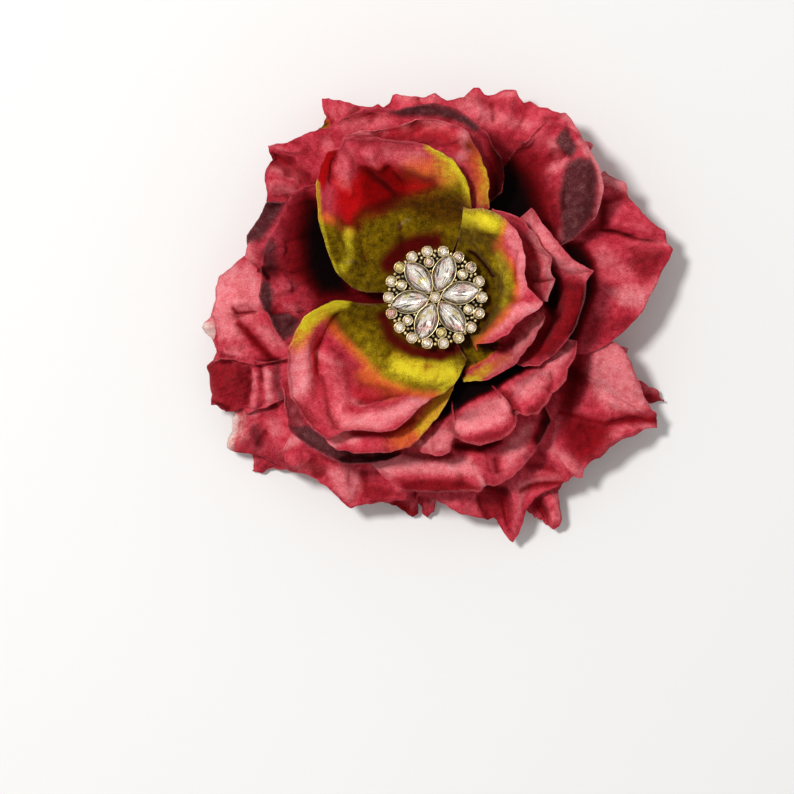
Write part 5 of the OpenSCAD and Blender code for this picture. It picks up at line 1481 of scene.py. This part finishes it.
def makeSpring(steel):
    # up one leg, round the coil and up the other leg
    axisX, axisZ = spring["axis"]
    legX, legSteps = axisX + spring["coilR"], spring["legSteps"]
    halfY = spring["pitch"] * spring["turns"] / 2
    path = [(legX, -halfY, spring["footZ"] + (axisZ - spring["footZ"]) * k / legSteps) for k in range(legSteps)]
    for k in range(spring["turns"] * spring["steps"] + 1):
        turn = k / spring["steps"]
        path.append((axisX + spring["coilR"] * math.cos(2 * math.pi * turn), spring["pitch"] * turn - halfY,
                     axisZ + spring["coilR"] * math.sin(2 * math.pi * turn)))
    path += [(legX, halfY, axisZ + (spring["headZ"] - axisZ) * k / legSteps) for k in range(1, legSteps + 1)]
    wire = bpy.data.curves.new("springWire", "CURVE")
    wire.dimensions = "3D"
    wire.bevel_depth = spring["wire"] / 2 * mm
    wire.bevel_resolution = 3
    wire.use_fill_caps = True
    line = wire.splines.new("POLY")
    line.points.add(len(path) - 1)
    for point, place in zip(line.points, path):
        point.co = spot(*place) + (1,)
    piece = bpy.data.objects.new("torsionSpring", wire)
    bpy.context.scene.collection.objects.link(piece)
    pick(piece)
    bpy.ops.object.convert(target="MESH")
    piece = bpy.context.object
    editAll(piece, "VERT")
    bpy.ops.mesh.remove_doubles(threshold=1e-6)
    bpy.ops.mesh.normals_make_consistent(inside=False)
    bpy.ops.object.mode_set(mode="OBJECT")
    dress(piece, steel, 50)
    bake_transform(piece)
    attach(piece, "flower")
    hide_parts("torsion_spring")


plated = steelMaterial("platedSteel", shade(206, 206, 208), shade(170, 166, 160), 0.2)
springSteel = steelMaterial("springSteel", shade(150, 150, 154), shade(96, 92, 90), 0.26)
roundedCopy("clip_arm", "clipArm", clip["rounding"], "flower", plated)
roundedCopy("clip_jaw", "clipJaw", clip["rounding"], "jaw", plated)
roundedCopy("hinge_pin", "hingePin", clip["pinRounding"], "flower", plated)
makeSpring(springSteel)
print("clip made")

# Backing: felt disc, glue, and the core under the petals
felt = {"r": 21.0, "rimR": 20.0, "low": 7.1, "high": 8.6, "sides": 180, "rings": 26, "lint": 0.12}


def feltMaterial():
    made, start, place = startMaterial("wineFelt")
    tufts = place.clouds(420.0, 6.0, 1.5)
    fibre = place.clouds(2300.0, 3.0, 2.5)
    colour = tufts.ramp(0.3, 0.7).mix(shade(92, 12, 22), shade(132, 24, 36))
    colour = (fibre.ramp(0.5, 0.8) * 0.5).mix(colour, shade(168, 62, 70))
    finishMaterial(start, {"Base Color": colour, "Roughness": 0.92 + fibre * 0.06,
                           "Normal": (tufts + fibre * 0.7).bump(0.9, 0.3), "Sheen Weight": 0.35,
                           "Sheen Roughness": 0.6, "Sheen Tint": (1.0, 0.7, 0.7, 1.0)})
    return made


def makeFelt():
    # drawn in ring by ring from the cut edge, then given its thickness and a little lint
    deselectAll()
    middle = (felt["low"] + felt["high"]) / 2
    bpy.ops.mesh.primitive_circle_add(vertices=felt["sides"], radius=felt["r"] * mm, fill_type="NOTHING",
                                      location=spot(0, 0, middle))
    piece = bpy.context.object
    fixPlace()
    editAll(piece, "EDGE")
    for ring in range(felt["rings"], 1, -1):
        bpy.ops.mesh.extrude_region_move()
        bpy.ops.transform.resize(value=((ring - 1) / ring,) * 2 + (1.0,), center_override=spot(0, 0, middle))
    bpy.ops.mesh.edge_face_add()
    bpy.ops.mesh.poke()
    bpy.ops.mesh.select_all(action="SELECT")
    bpy.ops.mesh.normals_make_consistent(inside=False)
    bpy.ops.object.mode_set(mode="OBJECT")
    applyModifier(piece, "SOLIDIFY", thickness=(felt["high"] - felt["low"]) * mm, offset=0)
    roundEdges(piece, 0.3, 3, 50)
    for point in piece.data.vertices:
        lint = noise.noise(point.co / mm * 1.1) + 0.6 * noise.noise(point.co / mm * 2.7)
        if point.co.xy.length > felt["rimR"] * mm:
            away = Vector((point.co.x, point.co.y, 0)).normalized()
        else:
            away = Vector((0, 0, -1 if point.co.z < middle * mm else 0))
        point.co += away * (min(lint, 0.0) * felt["lint"] * mm)
    piece.name = "feltDisc"
    piece.data.name = "feltDisc"
    dress(piece, feltMaterial(), 60)
    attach(piece, "flower")
    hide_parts("felt_disc")


def glueMaterial():
    made, start, place = startMaterial("clearGlue")
    cloud = place.clouds(300.0, 4.0)
    finishMaterial(start, {"Base Color": cloud.ramp(0.3, 0.7).mix(shade(222, 214, 190), shade(196, 180, 140)),
                           "Roughness": 0.25 + cloud * 0.2, "Normal": cloud.bump(0.4, 0.3),
                           "Subsurface Weight": 0.3, "Subsurface Radius": (0.002, 0.0015, 0.001)})
    return made


def coreMaterial():
    made, start, place = startMaterial("corePlastic")
    patch = place.clouds(240.0, 4.0)
    pore = place.clouds(1900.0, 2.0)
    finishMaterial(start, {"Base Color": patch.ramp(0.3, 0.7).mix(shade(34, 10, 12), shade(52, 18, 18)),
                           "Roughness": 0.6 + patch * 0.2, "Normal": (pore + patch).bump(0.3, 0.2)})
    return made


def coat(node, material):
    # a drawn solid keeps its shape and gets its finish
    for place in cadNodes[node].material_slots:
        place.material = material


makeFelt()
coat("glue_pad", glueMaterial())
coat("flower_core", coreMaterial())
coat("button_shank", gold)
print("backing made")

# Floor and light; the sky is brighter to the eye and in reflections than as a light
stage = {"size": 6.0, "z": -0.4, "floor": shade(247, 246, 244), "fibres": shade(232, 230, 226)}
light = {"world": 0.42, "shown": 0.96, "key": 9.7, "keyPlace": (-0.42, 0.25, 1.1), "keySize": 0.2}


def floorMaterial():
    made, start, place = startMaterial("paleFloor")
    paper = place.clouds(900.0, 3.0)
    finishMaterial(start, {"Base Color": (paper * 0.04).mix(stage["floor"], stage["fibres"]), "Roughness": 0.9,
                           "Normal": paper.bump(0.08, 0.2)})
    return made


deselectAll()
bpy.ops.mesh.primitive_plane_add(size=stage["size"], location=spot(0, 0, stage["z"]))
floor = bpy.context.object
floor.name = "paleFloor"
floor.data.materials.append(floorMaterial())

world = bpy.data.worlds.new("studio")
bpy.context.scene.world = world
world.use_nodes = True
world.node_tree.nodes.clear()
sky = Wire(world.node_tree)
seen = sky.node("ShaderNodeLightPath", out="Is Camera Ray")
for kind in ("Is Glossy Ray", "Is Transmission Ray"):
    seen = sky.sum("MAXIMUM", seen, sky.node("ShaderNodeLightPath", out=kind))
strength = seen * (light["shown"] - light["world"]) + light["world"]
backdrop = sky.node("ShaderNodeBackground", None, {"Color": (1.0, 1.0, 1.0, 1.0), "Strength": strength})
sky.node("ShaderNodeOutputWorld", None, {"Surface": backdrop})

bpy.ops.object.light_add(type="AREA", location=light["keyPlace"])
key = bpy.context.object
key.name = "keyLight"
key.data.shape = "DISK"
key.data.size = light["keySize"]
key.data.energy = light["key"]
key.rotation_euler = (-Vector(light["keyPlace"])).to_track_quat("-Z", "Y").to_euler()
print("floor and light set")
